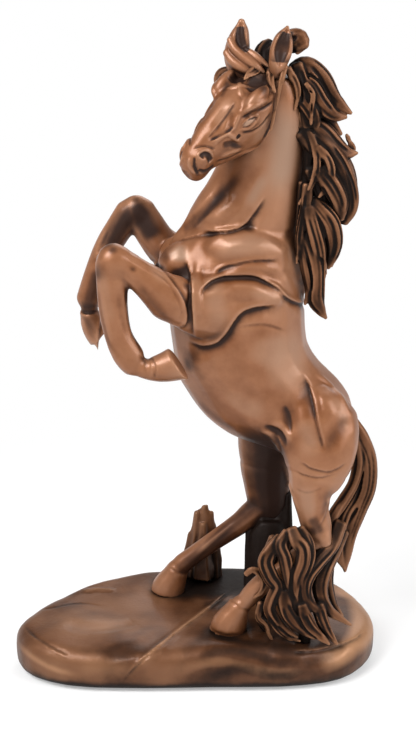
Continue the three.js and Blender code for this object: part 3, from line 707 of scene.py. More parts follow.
# painted sheen and highlight where paler, painted shade where deeper
bodySheensAndShades = [  # path, half width, and how much paler (deeper when negative)
    ([(296, 322), (292, 350), (288, 376), (280, 400)], 18, 0.55),
    ([(268, 330), (270, 352), (262, 374)], 13, 0.4),
    ([(286, 92), (286, 130), (282, 168), (276, 204)], 10, 0.9),
    ([(266, 170), (256, 190), (246, 210)], 5, 0.6),
    ([(208, 254), (232, 246), (262, 244), (290, 252)], 8, 0.5),
    ([(216, 262), (214, 290), (218, 318), (206, 338)], 8, 0.4),
    ([(245, 292), (268, 296), (290, 302)], 5, 0.4),
    ([(172, 246), (179, 254), (180, 264)], 6.5, 1.3),
    ([(300, 412), (308, 436), (314, 462)], 8, 0.5),
    ([(330, 392), (342, 410), (346, 432)], 8, 0.4),
    ([(300, 482), (308, 500), (314, 522)], 7, 0.4),
    ([(130, 248), (152, 264), (170, 290)], 6, 0.4),
    ([(100, 262), (104, 290), (112, 330)], 5, 0.3),
    ([(208, 356), (226, 374), (246, 390), (262, 402)], 17, -0.15),
    ([(192, 372), (216, 404), (246, 424), (272, 432)], 7, -0.4),
    ([(222, 386), (246, 406), (272, 416)], 11, 0.3),
    ([(198, 350), (222, 350), (246, 340)], 8, -0.4),
    ([(304, 312), (310, 344), (318, 366)], 6, -0.4),
    ([(262, 156), (244, 184), (218, 218)], 7, -0.7),
    ([(320, 376), (348, 404), (358, 440), (350, 470)], 6, -0.5),
    ([(128, 284), (132, 320), (146, 352)], 5, -0.5),
    ([(322, 482), (320, 508), (322, 530)], 5, -0.4),
    ([(118, 355), (140, 372), (175, 376)], 5, -0.3),
]
roundings = [  # both knees and the nape, over the head's dowel: centre, half sizes and blend
    (atDepth([(114, 262, -28)])[0], (7.6, 7.4, 9.0), 2.0),
    (atDepth([(137, 211, 22.5)])[0], (7.0, 6.4, 8.0), 2.0),
    (np.array([37.6, 0.0, 301.8]), (4.6, 4.6, 4.2), 4.0),
]
fillings = [  # rows in the photograph with a depth and a radius, and how softly they join
    ([(226, 170, 0, 3.6), (210, 199, 0, 4.2), (195, 223, 0, 4.4), (182, 240, 0, 4.2)], 4.0),
    ([(136, 276, -28, 5.0), (150, 287, -28, 6.4), (164, 303, -27, 7.6)], 3.0),
    ([(115, 285, -28, 5.6), (117, 310, -28, 5.2), (122, 335, -28, 5.0), (133, 354, -28, 5.0)], 3.0),
    ([(146, 209, 22, 4.6), (154, 226, 21, 6.0), (162, 244, 20, 6.6)], 3.0),
    ([(124, 210, 23, 3.0), (106, 240, 23, 4.0), (94, 271, 23, 4.2), (86, 297, 23, 4.2)], 4.0),
    ([(207, 366, 0, 13.4), (226, 393, 0, 13), (243, 408, 0, 12.6), (258, 412, 0, 12.4)], 6.0),
]
# coronet front and back, toe and heel in the photograph, depth, half widths at the top and the sole
hooves = [
    (((152, 377), (151, 358)), ((189, 379), (167, 350)), -28, 5.6, 7.5),
    (((80, 312), (97, 311)), ((98, 350), (101, 315)), 22, 5.4, 7.0),
    (((230, 600), (249, 610)), ((209, 628), (246, 633)), -22, 5.6, 8.0),
    (((170, 566), (188, 572)), ((152, 589), (184, 593)), 20, 5.4, 7.6),
]


def onBothSides(path):  # forms of the trunk and neck: the legs differ from side to side
    middle = np.mean(path, axis=0)
    return middle[0] > body["mirrorPast"] and middle[1] < body["mirrorAbove"]


def makeBody():
    low, high = nodeBox(*bodyNodes)
    low, high = low - body["room"], high + body["room"]
    clay = Clay(low, high, body["voxel"], body["band"])
    for name in bodyNodes + bodyCores:
        clay.addNode(name, body["seam"])
    flesh = Clay(low, high, body["voxel"], body["band"])
    flesh.addNode("trunk")
    flesh.addNode("neck")
    share = np.clip(0.5 - flesh.form / 6, 0, 1)
    share = blurred(share, 3 / body["voxel"])
    clay.soften(body["bone"])
    clay.soften(body["flesh"], share)
    for rows, blend in fillings:
        clay.addTube(spline(atDepth(rows), 1.5), blend)
    for row in roundings:
        clay.addBall(*row)
    for row in hooves:
        clay.addSkin(*hoofSkin(*row), 1.5)
    for path, width, depth, patinaAndShade in bodyRolls:
        clay.stroke(path, width, depth, patinaAndShade, patinaAndShadeWidth=1.2 * width, ends=0.35, mirror=onBothSides(path))
    for path, soft, depth, patinaAndShade, lip, side in bodyFolds:
        clay.fold(path, soft, depth, body["line"] * patinaAndShade, lip, side, mirror=onBothSides(path))
    for pixel, radius, amount in bodyShadeSpots:
        clay.smudge(clay.seen([pixel])[0], radius, amount)
    for path, width, amount in bodyShades:
        clay.paint(clay.seen(spline(path, 4.0)), width, amount, 0.25)
    for path, width, amount in bodySheensAndShades:
        clay.tone(path, width, amount)
    return clay


def hoofSkin(coronet, sole, depth, neckHalf, footHalf):
    front, back = atDepth([(*coronet[0], depth), (*coronet[1], depth)])
    toe, heel = atDepth([(*sole[0], depth), (*sole[1], depth)])
    turn = np.linspace(0, 2 * np.pi, 28, endpoint=False)
    rings = []
    for share in np.linspace(0, 1, 7):
        a = front + share * (toe - front)
        b = back + share * (heel - back)
        half = neckHalf + share ** 0.8 * (footHalf - neckHalf)
        side = np.array([0.0, half, 0.0])
        rings.append((a + b) / 2 + np.cos(turn)[:, None] * (a - b) / 2 + np.sin(turn)[:, None] * side)
    return closedRings(np.array(rings))


bodyClay = makeBody()
bodyPiece = bodyClay.finish("horse_body", bodyFinish)
place(bodyPiece, "copper_body", *bodyNodes)


# Head, in a frame at the poll: x down the face, y to the horse's left, z out of the face

head = {
    "voxel": 0.42,
    "band": 5.0,
    "poll": (35.4, -5.3, 306.5),
    "yaw": 34.4,
    "pitch": 40.3,
    "roll": -20.5,
    "low": (-6, -17, -27),  # corners of the clay block in the head's frame
    "high": (70, 17, 15),
    "skin": 0.65,           # smoothing
}
headPlace = (Matrix.Translation(head["poll"])
             @ Matrix.Rotation(math.radians(180 + head["yaw"]), 4, "Z")
             @ Matrix.Rotation(math.radians(head["pitch"]), 4, "Y")
             @ Matrix.Rotation(math.radians(head["roll"]), 4, "X"))

# down the face: top, bottom, half width at the top, middle and bottom
headRows = [
    (-1, -1, -11, 5, 7, 5),
    (6, 4.5, -17, 7.5, 9.5, 7),
    (13, 7.2, -21.5, 9.4, 11.4, 8),
    (20, 8.4, -24, 10.2, 12.6, 8.4),
    (27, 9.4, -26, 10.4, 12.6, 8.4),
    (34, 9.4, -25.5, 9.6, 11.4, 7.8),
    (41, 8.8, -22, 8.4, 9.8, 6.8),
    (48, 7.6, -17.5, 6.8, 7.8, 5.8),
    (54, 5.8, -14, 5.6, 7.2, 5),
    (59, 4.6, -12.8, 5.2, 7.0, 5),
    (62.5, 2.2, -12, 4.2, 5.6, 4.2),
    (65, -1.5, -9, 2.4, 3, 2.4),
]
headBalls = [  # on both sides of the head, in its frame: centre, half sizes and blend
    ((20, 10.2, 5.2), (8.0, 3.6, 4.2), 3.0),   # brow
    ((20, 7.0, -14), (13, 4.8, 10.5), 3.0),    # cheek
    ((56, 4.4, 0.2), (4.8, 2.6, 3.6), 3.0),    # nostril
]
chinBall = ((59, 0, -10.0), (5.0, 4.4, 3.4), 2.0)


def eggSkin(rows, sides=36):  # rings with their own top, bottom and three half widths
    rows = spline(np.array([(r[0], 0, 0, *r[1:]) for r in rows], float), 2.0)
    turn = np.linspace(0, 2 * np.pi, sides, endpoint=False)
    up = np.sign(np.sin(turn)) * np.abs(np.sin(turn)) ** 0.9
    side = np.sign(np.cos(turn)) * np.abs(np.cos(turn)) ** 0.8
    points = []
    for s, _, _, top, bottom, wide, waist, narrow in rows:
        width = waist + up * (wide - narrow) / 2 + up * up * ((wide + narrow) / 2 - waist)
        height = (top + bottom) / 2 + up * (top - bottom) / 2
        points.append(np.stack([np.full(sides, s), side * width, height], axis=1))
    return closedRings(np.array(points))


def onHead(points):
    frameOfHead = np.array(headPlace)
    return np.asarray(points, float) @ frameOfHead[:3, :3].T + frameOfHead[:3, 3]


def makeHead():
    clay = Clay(head["low"], head["high"], head["voxel"], head["band"], headPlace)
    points, triangles = eggSkin(headRows)
    clay.addSkin(onHead(points), triangles)
    for side in (1, -1):
        for (x, y, z), half, blend in headBalls:
            clay.addBall((x, side * y, z), half, blend)
    clay.addBall(*chinBall)
    clay.soften(head["skin"])
    for path, width, depth, patinaAndShade in faceForms:
        clay.stroke(path, width, depth, patinaAndShade, ends=0.3, mirror=True)
    addEyes(clay)
    for path, soft, depth, patinaAndShade, lip, side in faceFolds:
        clay.fold(path, soft, depth, patinaAndShade, lip, side, mirror=True)
    for path, width, depth, patinaAndShade in faceLines:
        clay.stroke(path, width, depth, patinaAndShade, ends=0.1, mirror=True)
    for pixel, radius, amount in faceShadeSpots:
        spot = clay.seen([pixel])[0]
        clay.smudge(spot, radius, amount)
        clay.smudge(spot * (1, -1, 1), radius, amount)
    for path, width, amount in faceShades:
        clay.paint(clay.seen(spline(path, 2.0)), width, amount, 0.25)
    for path, width, amount in faceSheensAndShades:
        clay.tone(path, width, amount)
    return clay


faceForms = [  # path, half width, depth (raised when negative), patina and painted shade
    ([(246, 91), (254, 85), (264, 81), (272, 87)], 5.6, 3.2, 0.6),                     # temple hollow
    ([(245, 99), (240, 91), (240, 82), (245, 76), (254, 74)], 1.6, -0.9, 0),           # its front edge
    ([(237, 115), (248, 109.5), (260, 104), (270, 98), (276, 93)], 1.9, -1.4, 0),      # brow ridge
    ([(241, 112), (237, 121), (233, 131)], 1.3, -0.9, 0),                              # front of the socket
    ([(234, 110), (231, 121), (228, 131)], 2.2, 0.8, 0.1),
    ([(231, 106), (222, 119), (213, 133)], 4.0, 0.7, 0),                               # side of the nose
    ([(211, 147), (219, 139), (227, 134.5), (233, 137), (241, 143)], 1.5, -1.2, 0),    # cheek bars
    ([(221, 146), (231, 144), (240, 147)], 2.6, 1.0, 0.15),
    ([(219, 157), (232, 152), (243, 148)], 1.5, -0.9, 0),
    ([(273, 118), (268, 133), (261, 144), (250, 150), (236, 156)], 2.0, -1.0, 0),      # edge of the jaw
    ([(197, 161), (199, 154), (205, 150.5), (211, 153), (213.5, 160)], 1.2, -0.7, 0),  # nostril
    ([(189, 157), (190, 167), (196, 175)], 1.2, -0.8, 0),                              # lips
]
faceFolds = [  # path, slope, depth, patina and painted shade, lip, and the side that is sunk
    ([(240, 118), (250, 112.5), (262, 107.5), (274, 100)], 2.2, 1.1, 0.6, 0.3, 1),
    ([(241, 132), (252, 130), (261, 124), (271, 111)], 2.2, 0.9, 0.5, 0.4, 1),
    ([(208, 142), (221, 136.5), (230, 131), (236, 125)], 2.2, 0.9, 0.5, 0.4, -1),
    ([(215, 161), (231, 156), (244, 149)], 2.2, 1.0, 0.55, 0.4, 1),
    ([(276, 95), (274, 112), (270, 127), (262, 142)], 2.0, 0.7, 0.5, 0.3, 1),
    ([(193, 149), (205, 147), (216, 151)], 1.8, 0.7, 0.5, 0.3, -1),
    ([(236, 100), (228, 112), (216, 128), (206, 140)], 4.0, 0.8, 0.2, 0.3, -1),
]
faceLines = [  # mouth, nostril and the pit of the cheek: path, half width, depth, patina and painted shade
    ([(194.5, 157), (194, 166), (197.5, 174)], 0.9, 0.9, 0.5),
    ([(200.5, 158), (204, 154.5), (208.5, 156), (211, 162)], 2.1, 1.8, 0.8),
    ([(198, 170), (205, 171), (213, 166)], 1.2, 1.0, 0.5),
    ([(237, 135.5), (239, 138)], 1.7, 1.5, 0.6),
]
# painted shade and patina in pits and hollows
faceShadeSpots = [  # where in the photograph, radius, amount
    ((258, 87), 7, 0.8), ((248, 87), 4, 0.6), ((238, 137), 1.8, 0.6), ((206, 158), 1.8, 0.6),
    ((206, 172), 3, 0.4), ((230, 82), 5, 0.45), ((226, 90), 3, 0.3), ((230, 143), 4, 0.25),
]
faceShades = [  # path, half width and amount of painted shade and patina
    ([(220, 150), (234, 146), (245, 149)], 2.6, 0.55),
    ([(238, 133), (252, 129), (264, 120)], 1.8, 0.5),
    ([(206, 142), (222, 136), (236, 126)], 1.5, 0.55),
    ([(195, 155), (195.5, 167), (199, 178)], 1.8, 0.7),
    ([(215, 162), (207, 170), (199, 172)], 2.2, 0.7),
    ([(230, 78), (225, 90), (218, 102)], 3.0, 0.5),
    ([(218, 94), (207, 112), (196, 130)], 2.2, 0.4),
    ([(244, 114), (258, 107), (272, 99)], 1.3, 0.7),
    ([(246, 78), (258, 84), (270, 94)], 5.0, 0.9),
    ([(276, 96), (272, 118), (262, 142)], 1.6, 0.7),
]
# a painted glint on the eye, painted sheen where paler, painted shade where deeper
faceSheensAndShades = [  # path, half width, and how much paler (deeper when negative)
    ([(242, 127), (248, 122.5), (256, 118)], 1.6, 2.0),
    ([(236, 96), (224, 112), (212, 130)], 6, 0.4),
    ([(268, 112), (264, 130), (250, 144)], 6, 0.5),
    ([(240, 104), (252, 100), (266, 96)], 4, 0.3),
    ([(222, 82), (215, 100), (205, 118), (196, 134)], 4, -0.5),
    ([(226, 150), (216, 160), (208, 172)], 5, -0.5),
    ([(274, 100), (268, 134), (246, 152)], 3, -0.5),
]


def addEyes(clay):  # an almond ball between two lids on each side
    front, back, middle = clay.settled(clay.seen([(242, 127), (256.5, 117.5), (249, 122.5)]))
    along = (back - front) / np.linalg.norm(back - front)
    steps = clay.voxel * np.eye(3)
    out = clay.read(clay.form, middle + steps) - clay.read(clay.form, middle - steps)
    out -= along * (out @ along)
    out /= np.linalg.norm(out)
    across = np.cross(out, along)
    long = np.linalg.norm(back - front) / 2
    for side in (1, -1):
        flip = np.array([1.0, side, 1.0])
        turn = np.stack([along * flip, across * flip, out * flip], axis=1)
        clay.cutBall((middle + 0.5 * out) * flip, (long + 1.0, 2.5, 1.6), 1.0, turn)
        clay.addBall((middle - 1.2 * out) * flip, (long, 2.4, 1.9), 0.2, turn)
    lids = [
        [(240, 129), (244, 122.5), (250, 118), (256, 115.5), (260, 115)],
        [(240, 129), (247, 128.5), (254, 124), (260, 115)],
    ]
    for lid in lids:
        clay.stroke(lid, 1.0, -1.0, 0, ends=0.15, mirror=True)
    clay.stroke([(242, 127.5), (249, 126), (256, 119)], 0.6, 0.3, 0.3, ends=0.1, mirror=True)
    clay.stroke([(242, 126.5), (247, 120.5), (256, 117)], 0.6, 0.4, 0.9, ends=0.1, mirror=True)


headClay = makeHead()
headPiece = headClay.finish("horse_head", bodyFinish, creaseSpread=0.7, hollowSpread=3.0)
place(headPiece, "copper_body", "head")


# Ears: cupped leaves

ears = {
    "voxel": 0.35,
    "band": 3.0,
    "room": 12.0,     # free space kept round an ear
    "skin": 0.35,     # smoothing
    "dark": 1.3,      # patina and painted shade in the cup
    "sunk": 0.6,      # how far an ear runs into the head
    # each row: pixel x, pixel y, depth and radius
    "near": [(276, 72, -12, 3.4), (278, 63, -13.5, 4.4), (281, 51, -14, 5.2), (284, 38, -14, 4.2),
             (287.5, 27, -13.5, 0.9)],
    "nearCup": [(280, 64, -18, 1.6), (281.5, 53, -19, 3.9), (284.5, 41, -18.5, 3.5),
                (287, 31, -15.5, 1.2)],
    "far": [(250, 77, -6, 4.6), (241, 67, -4, 6.0), (237, 56, -3, 6.1), (238.5, 42, -2.5, 5.4),
            (241, 30, -2, 3.7), (241.5, 22, -2, 1.7)],
    "farCup": [(248, 52, -9, 1.4), (243.5, 46, -8, 2.4), (240.5, 36, -7, 2.6), (240.5, 25, -4.5, 1.4)],
    "farBands": [
        [(230, 40, -6, 1.6), (235, 49, -8, 2.2), (245, 58, -10, 2.6), (256, 66, -12, 2.2),
         (264, 72, -12, 0.9)],
        [(227, 53, -6, 2.0), (233, 61, -8, 2.6), (243, 68, -10, 2.6), (255, 73, -12, 1.4)],
        [(246, 49, -7, 1.2), (253, 54, -9, 1.7), (261, 60, -11, 1.5), (268, 66, -12, 0.8)],
    ],
}


def makeEar(rows, cup, bands=()):
    line = spline(atDepth(rows), 1.0)
    low, high = line[:, :3].min(0) - ears["room"], line[:, :3].max(0) + ears["room"]
    clay = Clay(low, high, ears["voxel"], ears["band"])
    clay.addTube(line, 0.5)
    cup = spline(atDepth(cup), 1.0)
    part, away, along = clay.nearLine(cup, 9.0)
    hollow = away - np.interp(along, np.linspace(0, 1, len(cup)), cup[:, 3])
    clay.form[part] = -softMin(-clay.form[part], hollow.astype(np.float32), 0.5)
    clay.paint(cup, 1.7 * float(cup[:, 3].max()), ears["dark"], ends=0.05)
    for band in bands:
        clay.addTube(spline(atDepth(band), 1.0), 0.6)
    clay.soften(ears["skin"])
    trim(clay, [headClay, bodyClay], ears["sunk"])
    return clay


nearEar = makeEar(ears["near"], ears["nearCup"])
nearEarPiece = nearEar.finish("near_ear", bodyFinish, creaseSpread=0.7, hollowSpread=3.0)
place(nearEarPiece, "copper_body", "left_ear")
farEar = makeEar(ears["far"], ears["farCup"], ears["farBands"])
farEarPiece = farEar.finish("far_ear", bodyFinish, creaseSpread=0.7, hollowSpread=3.0)
place(farEarPiece, "copper_body", "right_ear")


# Hair: leaf shaped locks with fine grooves along them, dark at their roots with patina and painted shade

hair = {
    "voxel": 0.45,
    "band": 2.4,
    "core": 3.6,      # how far the core lies under the casting's surface
    "room": 9.0,      # free space kept round the locks
    "flat": 0.55,     # how thick a lock is for its width
    "grooves": 8,
    "deep": 0.8,      # depth of a groove
    "twist": 0.5,     # how far the grooves wind round a lock
    "root": 0.75,     # how dark a lock starts, with patina and painted shade
    "blotch": 0.4,    # dark stretches along it
    "pinDark": 1.2,
}


def addLock(clay, rows, seed, grooves=hair["grooves"], root=hair["root"], dark=0.0):
    dice = np.random.default_rng(seed)
    flat = hair["flat"]
    line = spline(atDepth(rows), 1.4)
    centre, wide = line[:, :3], line[:, 3]
    ahead = np.gradient(centre, axis=0)
    ahead /= np.linalg.norm(ahead, axis=1)[:, None]
    side = np.cross(ahead, -lookWay)
    side /= np.linalg.norm(side, axis=1)[:, None]
    out = np.cross(side, ahead)
    share = np.linspace(0, 1, len(line))
    for offset in (-0.45, 0, 0.45):
        clay.addTube(np.column_stack([centre + side * (offset * wide)[:, None], wide * flat]), 0.7)
    for j in range(grooves):
        angle = 2 * np.pi * (j + 0.7 * dice.random()) / grooves
        angle = angle + hair["twist"] * share * (dice.random() - 0.5)
        wave = 0.07 * np.sin(share * (4 + 5 * dice.random()) + 6.28 * dice.random())
        spots = (centre + side * (wide * (np.cos(angle) * (0.43 + flat) + wave))[:, None]
                 + out * (wide * flat * 1.02 * np.sin(angle))[:, None])
        keep = (share >= 0.2 * dice.random()) & (share <= 0.78 + 0.22 * dice.random())
        width = 0.7 + 0.9 * dice.random()
        clay.press(spots[keep], width, hair["deep"] * (0.3 + dice.random()), 0.2)
        # patina and painted shade along the groove
        clay.paint(spots[keep], width, 0.15 + 0.3 * dice.random(), 0.2)
    # dark at the root with patina and painted shade, and in random dark stretches
    blotches = hair["blotch"] * np.sin(share * (6 + 6 * dice.random()) + 6.28 * dice.random())
    for spot, reach, t, blotch in zip(centre[::2], wide[::2], share[::2], blotches[::2]):
        clay.smudge(spot, 2.2 * reach + 1, max(dark, root * (1 - t / 0.75), blotch))


def makeHair(name, node, locks, seed, dark=0.0, pins=()):
    locks = [lock if isinstance(lock, tuple) else (lock, {}) for lock in locks]
    low, high = nodeBox(node)
    spots = np.vstack([atDepth(rows)[:, :3] for rows, _ in locks])
    low = np.minimum(low, spots.min(0)) - hair["room"]
    high = np.maximum(high, spots.max(0)) + hair["room"]
    clay = Clay(low, high, hair["voxel"], hair["band"])
    clay.addNode(node, 0)
    clay.form = np.minimum(clay.form + hair["core"], clay.band)
    # the core between the locks is darker: patina and painted shade in the gaps
    clay.patinaAndShade += np.where(clay.form < 0.3, 0.7, 0).astype(np.float32)
    for pin in pins:  # hair closes round its pins
        points, triangles = nodeMesh(pin)
        centre = points.mean(0)
        clay.addSkin(centre + (points - centre) * (1.6, 1.6, 1.0), triangles, 0.5)
        # patina and painted shade round the pin, low by the ground
        clay.smudge(centre, 12.0, hair["pinDark"])
    for i, (rows, ways) in enumerate(locks):
        addLock(clay, rows, seed + i, **ways)
    trim(clay, [bodyClay, headClay])
    clay.patinaAndShade += dark
    place(clay.finish(name, hairFinish, creaseSpread=0.7, hollowSpread=2.4), "copper_hair", node)


# each lock: rows of pixel x, pixel y, depth and half width, and what is its own
upperMane = [
    ([(296, 72, -8, 5), (306, 69, -6, 6), (318, 80, -5, 6.6), (329, 96, -5, 5.4), (340, 106, -5, 3.4),
      (351, 113, -5, 0.9)], {"root": 0.5}),
    [(296, 80, -9, 4), (309, 88, -9, 5.5), (321, 104, -9, 5), (333, 115, -8, 3.4), (346, 117, -6, 1)],
    [(296, 76, 2, 5), (311, 79, 4, 6), (324, 92, 5, 5.6), (336, 106, 4, 4), (346, 114, 2, 1)],
    ([(298, 94, -10, 3.6), (308, 106, -11, 4.2), (314, 118, -11, 3.6), (316, 130, -10, 1.2)],
     {"dark": 0.55}),
    [(300, 98, -6, 5), (314, 112, -5, 6), (328, 124, -4, 4.4), (341, 134, -3, 1)],
    ([(285, 66, -14, 1.5), (281, 80, -16, 1.7), (278, 98, -17, 1.4), (274, 116, -17.5, 1.1),
      (271, 130, -18, 0.5)], {"grooves": 4, "root": 0.3}),
    ([(288, 69, -13, 1.8), (296, 84, -13, 2.0), (298, 96, -13, 1.5), (295, 110, -13, 0.5)],
     {"grooves": 4, "root": 0.4}),
    ([(297, 66, -10, 3), (302, 85, -10, 3.5), (305, 105, -10, 3.6), (308, 126, -10, 3)], {"dark": 0.75}),
    ([(306, 84, -12, 1.2), (313, 94, -13, 1.4), (312, 108, -13, 1.2), (311, 124, -13, 0.6)],
     {"grooves": 3, "dark": 0.5}),
]
middleMane = [
    ([(304, 122, -8, 5), (320, 132, -8, 6), (334, 146, -7, 5.4), (346, 153, -6, 3.4),
      (357, 153, -5, 0.8)], {"dark": 0.3}),
    ([(342, 156, -2, 3.4), (351, 150, -2, 3.0), (350, 142, -1, 2.0), (346.5, 135, -1, 0.8)],
     {"root": 0.4}),
    ([(304, 132, -9, 5), (320, 148, -9, 7), (336, 168, -8, 7), (345, 190, -8, 6.4), (347, 207, -8, 5.4),
      (343, 221, -8, 3)], {"root": 0.95}),
    [(308, 140, 1, 6), (326, 152, 3, 7), (340, 170, 3, 7), (346, 192, 2, 5.6), (346, 214, 1, 2)],
    ([(309, 132, -11, 1.8), (315, 148, -13, 2.2), (317, 166, -14, 2.2), (311, 186, -14, 1.8),
      (299, 204, -13, 0.6)], {"grooves": 5, "root": 0.9}),
    ([(318, 148, -13, 2), (328, 160, -14, 2.6), (331, 174, -14, 2.6), (326, 188, -14, 1.8),
      (319, 197, -14, 0.6)], {"grooves": 5, "root": 0.5}),
    ([(320, 172, -13, 4), (332, 186, -14, 5), (340, 202, -13, 4.4), (341, 219, -11, 1.6)], {"root": 0.8}),
    ([(303, 112, -9, 3.6), (309, 135, -9, 4), (310, 160, -9, 4), (307, 185, -9, 3.6), (303, 205, -10, 2)],
     {"dark": 0.8}),
    ([(312, 170, -10, 4), (318, 184, -11, 4), (322, 200, -11, 3), (322, 212, -10, 1.4)], {"dark": 0.7}),
]
lowerMane = [
    ([(312, 202, -12, 3.4), (320, 212, -13, 5.4), (329, 226, -13, 6), (333, 244, -12, 5),
      (331, 258, -10, 3), (328, 268, -9, 1)], {"root": 0.4, "grooves": 15}),
    [(306, 190, -2, 6), (320, 206, 0, 7), (331, 228, 1, 5.4), (333, 248, 1, 3.6), (331, 266, 0, 1)],
    ([(308, 186, -13, 2.6), (306, 206, -14, 2.8), (302, 224, -14, 2.6), (299, 244, -14, 2.2),
      (297, 263, -14, 0.6)], {"dark": 0.8, "grooves": 6}),
    ([(308, 208, -14, 3), (313, 226, -15, 4), (318, 246, -15, 4.2), (321, 262, -14, 3),
      (325, 274, -12, 1)], {"root": 0.45}),
    ([(305, 232, -13, 3), (311, 250, -14, 4.2), (316, 266, -14, 4.4), (317, 284, -13, 4),
      (316, 299, -11, 4.4), (321, 311, -9, 2.6), (326, 318, -8, 0.8)], {"root": 0.55}),
    ([(303, 240, -13, 2.4), (304, 258, -14, 2.8), (307, 276, -14, 2.8), (309, 292, -12, 2.2),
      (305, 304, -11, 0.7)], {"root": 0.7, "grooves": 7}),
    [(308, 236, -1, 5.4), (316, 258, 0, 5.4), (317, 280, 0, 4.2), (316, 300, -2, 2), (318, 308, -3, 1)],
    ([(305, 184, -9, 3.4), (303, 210, -9, 3.6), (301, 235, -9, 3.4), (300, 258, -9, 2)], {"dark": 0.75}),
]
forelockHair = [
    ([(266, 66, -6, 3.6), (272, 54, -5, 4.2), (282, 44, -4, 4), (291, 37, -4, 4), (298, 36, -4, 4),
      (302, 41, -5, 3.4), (300, 48, -6, 2.2), (297, 53, -7, 1)], {"root": 1.0}),
    ([(284, 47, -4, 3.4), (292, 43, -4, 5), (298, 41, -5, 5.6), (301, 46, -6, 4)],
     {"grooves": 5, "root": 0.8}),
    ([(262, 66, -9, 3.0), (255, 70, -13, 2.6), (249, 74, -16, 1.8), (245, 79, -18, 0.7)],
     {"grooves": 6, "root": 0.4}),
    ([(266, 68, -9, 3.6), (264, 58, -6, 5), (266, 49, -3, 4.6), (270, 42, 0, 2.2)],
     {"grooves": 6, "dark": 0.85}),
    ([(272, 70, -12, 2.6), (270, 78, -15, 2.2), (272, 86, -17, 1.6), (275, 92, -18, 0.6)],
     {"grooves": 5, "root": 0.5}),
    ([(240, 76, -4, 2.6), (230, 73, 0, 3.2), (222, 74, 3, 3.0), (218, 80, 4, 2.2), (217, 87, 4, 0.8)],
     {"grooves": 5, "root": 0.8}),
]
tailHair = [
    ([(352, 424, 0, 4), (361, 441, -2, 5), (368, 462, -3, 5), (367, 487, -5, 5), (359, 509, -8, 4.6),
      (349.5, 536, -10, 3.8), (345, 556, -11, 3.2), (345, 571, -11, 0.8)], {"grooves": 10, "root": 0.1}),
    ([(350, 430, 1, 4), (358, 452, 0, 4.4), (360, 474, -2, 4.6), (353, 496, -6, 4.6),
      (343, 514, -10, 4.6), (338, 536, -13, 4), (339, 556, -13, 2.4), (344, 568, -12, 0.8)],
     {"grooves": 10, "root": 0.2}),
    ([(353, 440, -4, 3), (358, 460, -5, 3.2), (354, 482, -8, 3.0), (343, 501, -11, 3.2),
      (334, 514, -15, 3), (328, 526, -18, 2)], {"grooves": 6, "dark": 0.55}),
    ([(353, 440, 4, 4), (362, 468, 4, 4.4), (360, 496, 2, 4), (352, 520, -2, 3), (347, 548, -6, 0.8)],
     {"grooves": 8}),
]
cascadeHair = [
    [(280, 538, -31, 2.6), (272, 549, -33, 3.6), (266, 562, -35, 4.2), (271, 577, -36, 4.2),
     (277, 587, -36.5, 3.6), (272, 600, -36.5, 3.4), (270, 610, -36, 3.4), (276, 621, -36, 3.2),
     (284, 630, -36, 2.4), (297, 637, -36, 0.8)],
    [(287, 533, -31, 2.6), (281, 545, -34, 3.4), (285, 557, -36, 3.8), (288, 570, -37, 3.8),
     (291, 584, -37, 3.6), (294, 598, -37, 2.8), (298, 610, -37, 0.9)],
    [(292, 530, -31, 3), (296, 540, -34, 3.6), (302, 549, -36, 4), (302, 562, -37, 4.2),
     (297, 577, -37, 3.8), (296, 592, -37, 3.2), (302, 606, -37, 1)],
    [(300, 530, -30, 3), (307, 543, -33, 3.6), (308, 556, -35, 3.8), (304, 570, -36, 3.6),
     (300, 584, -36, 2.8), (300, 598, -36, 0.9)],
    [(284, 592, -37, 2.6), (285, 604, -38, 4), (290, 616, -38, 4.4), (299, 627, -38, 3.6),
     (309, 635, -38, 2), (318, 638, -37, 0.8)],
    ([(340, 524, -18, 3.6), (331, 545, -25, 4.2), (318, 560, -31, 4.6), (308, 573, -35, 4.6),
      (304, 586, -36, 4.2), (306, 599, -36, 3.6), (314, 608, -36, 2.4), (326, 616, -35, 0.8)],
     {"dark": 0.45}),
    ([(342, 532, -14, 3.6), (332, 552, -22, 4.4), (323, 572, -29, 4.6), (320, 588, -31, 4.2),
      (323, 601, -32, 3.6), (331, 612, -31, 2.8), (341, 619, -30, 1.8), (351, 625, -30, 0.7)],
     {"root": 0.6}),
    [(302, 606, -38, 2.6), (306, 618, -38.5, 3.4), (312, 628, -38.5, 3), (321, 637, -38, 2.2),
     (329, 644, -38, 0.7)],
    [(318, 606, -34, 3.4), (322, 620, -36, 3.4), (328, 632, -36, 2.6), (337, 644, -36, 0.7)],
    ([(262, 604, -33, 2.4), (259, 617, -34, 2.2), (266, 624, -34.5, 2), (269, 632, -34.5, 1.6),
      (272, 641, -34, 0.6)], {"grooves": 4}),
    ([(272, 618, -35, 2.2), (278, 628, -36, 2.2), (288, 637, -36, 1.6), (300, 641, -36, 0.6)],
     {"grooves": 4}),
    ([(276, 540, -24, 4), (269, 560, -22, 4.4), (267, 580, -22, 4.6), (264, 600, -22, 4.4),
      (262, 620, -24, 3), (268, 634, -26, 1)], {"dark": 0.6}),
    ([(246, 574, -30, 1.4), (252, 570, -30, 1.8), (259, 573, -30, 2.2), (264, 582, -30, 2.2),
      (261, 592, -30, 1.6), (254, 598, -29, 0.6)], {"grooves": 5, "root": 0}),
    ([(328, 540, -10, 4), (325, 562, -12, 5), (324, 584, -14, 5), (330, 604, -16, 4), (342, 616, -18, 1)],
     {"dark": 0.5}),
    ([(300, 532, -16, 4), (298, 556, -12, 5), (296, 580, -11, 5), (300, 604, -11, 4.4),
      (310, 622, -12, 2)], {"dark": 0.5}),
]
makeHair("forelock_hair", "forelock", forelockHair, 10, 0.1)
makeHair("upper_mane", "mane_upper", upperMane, 20, 0.08)
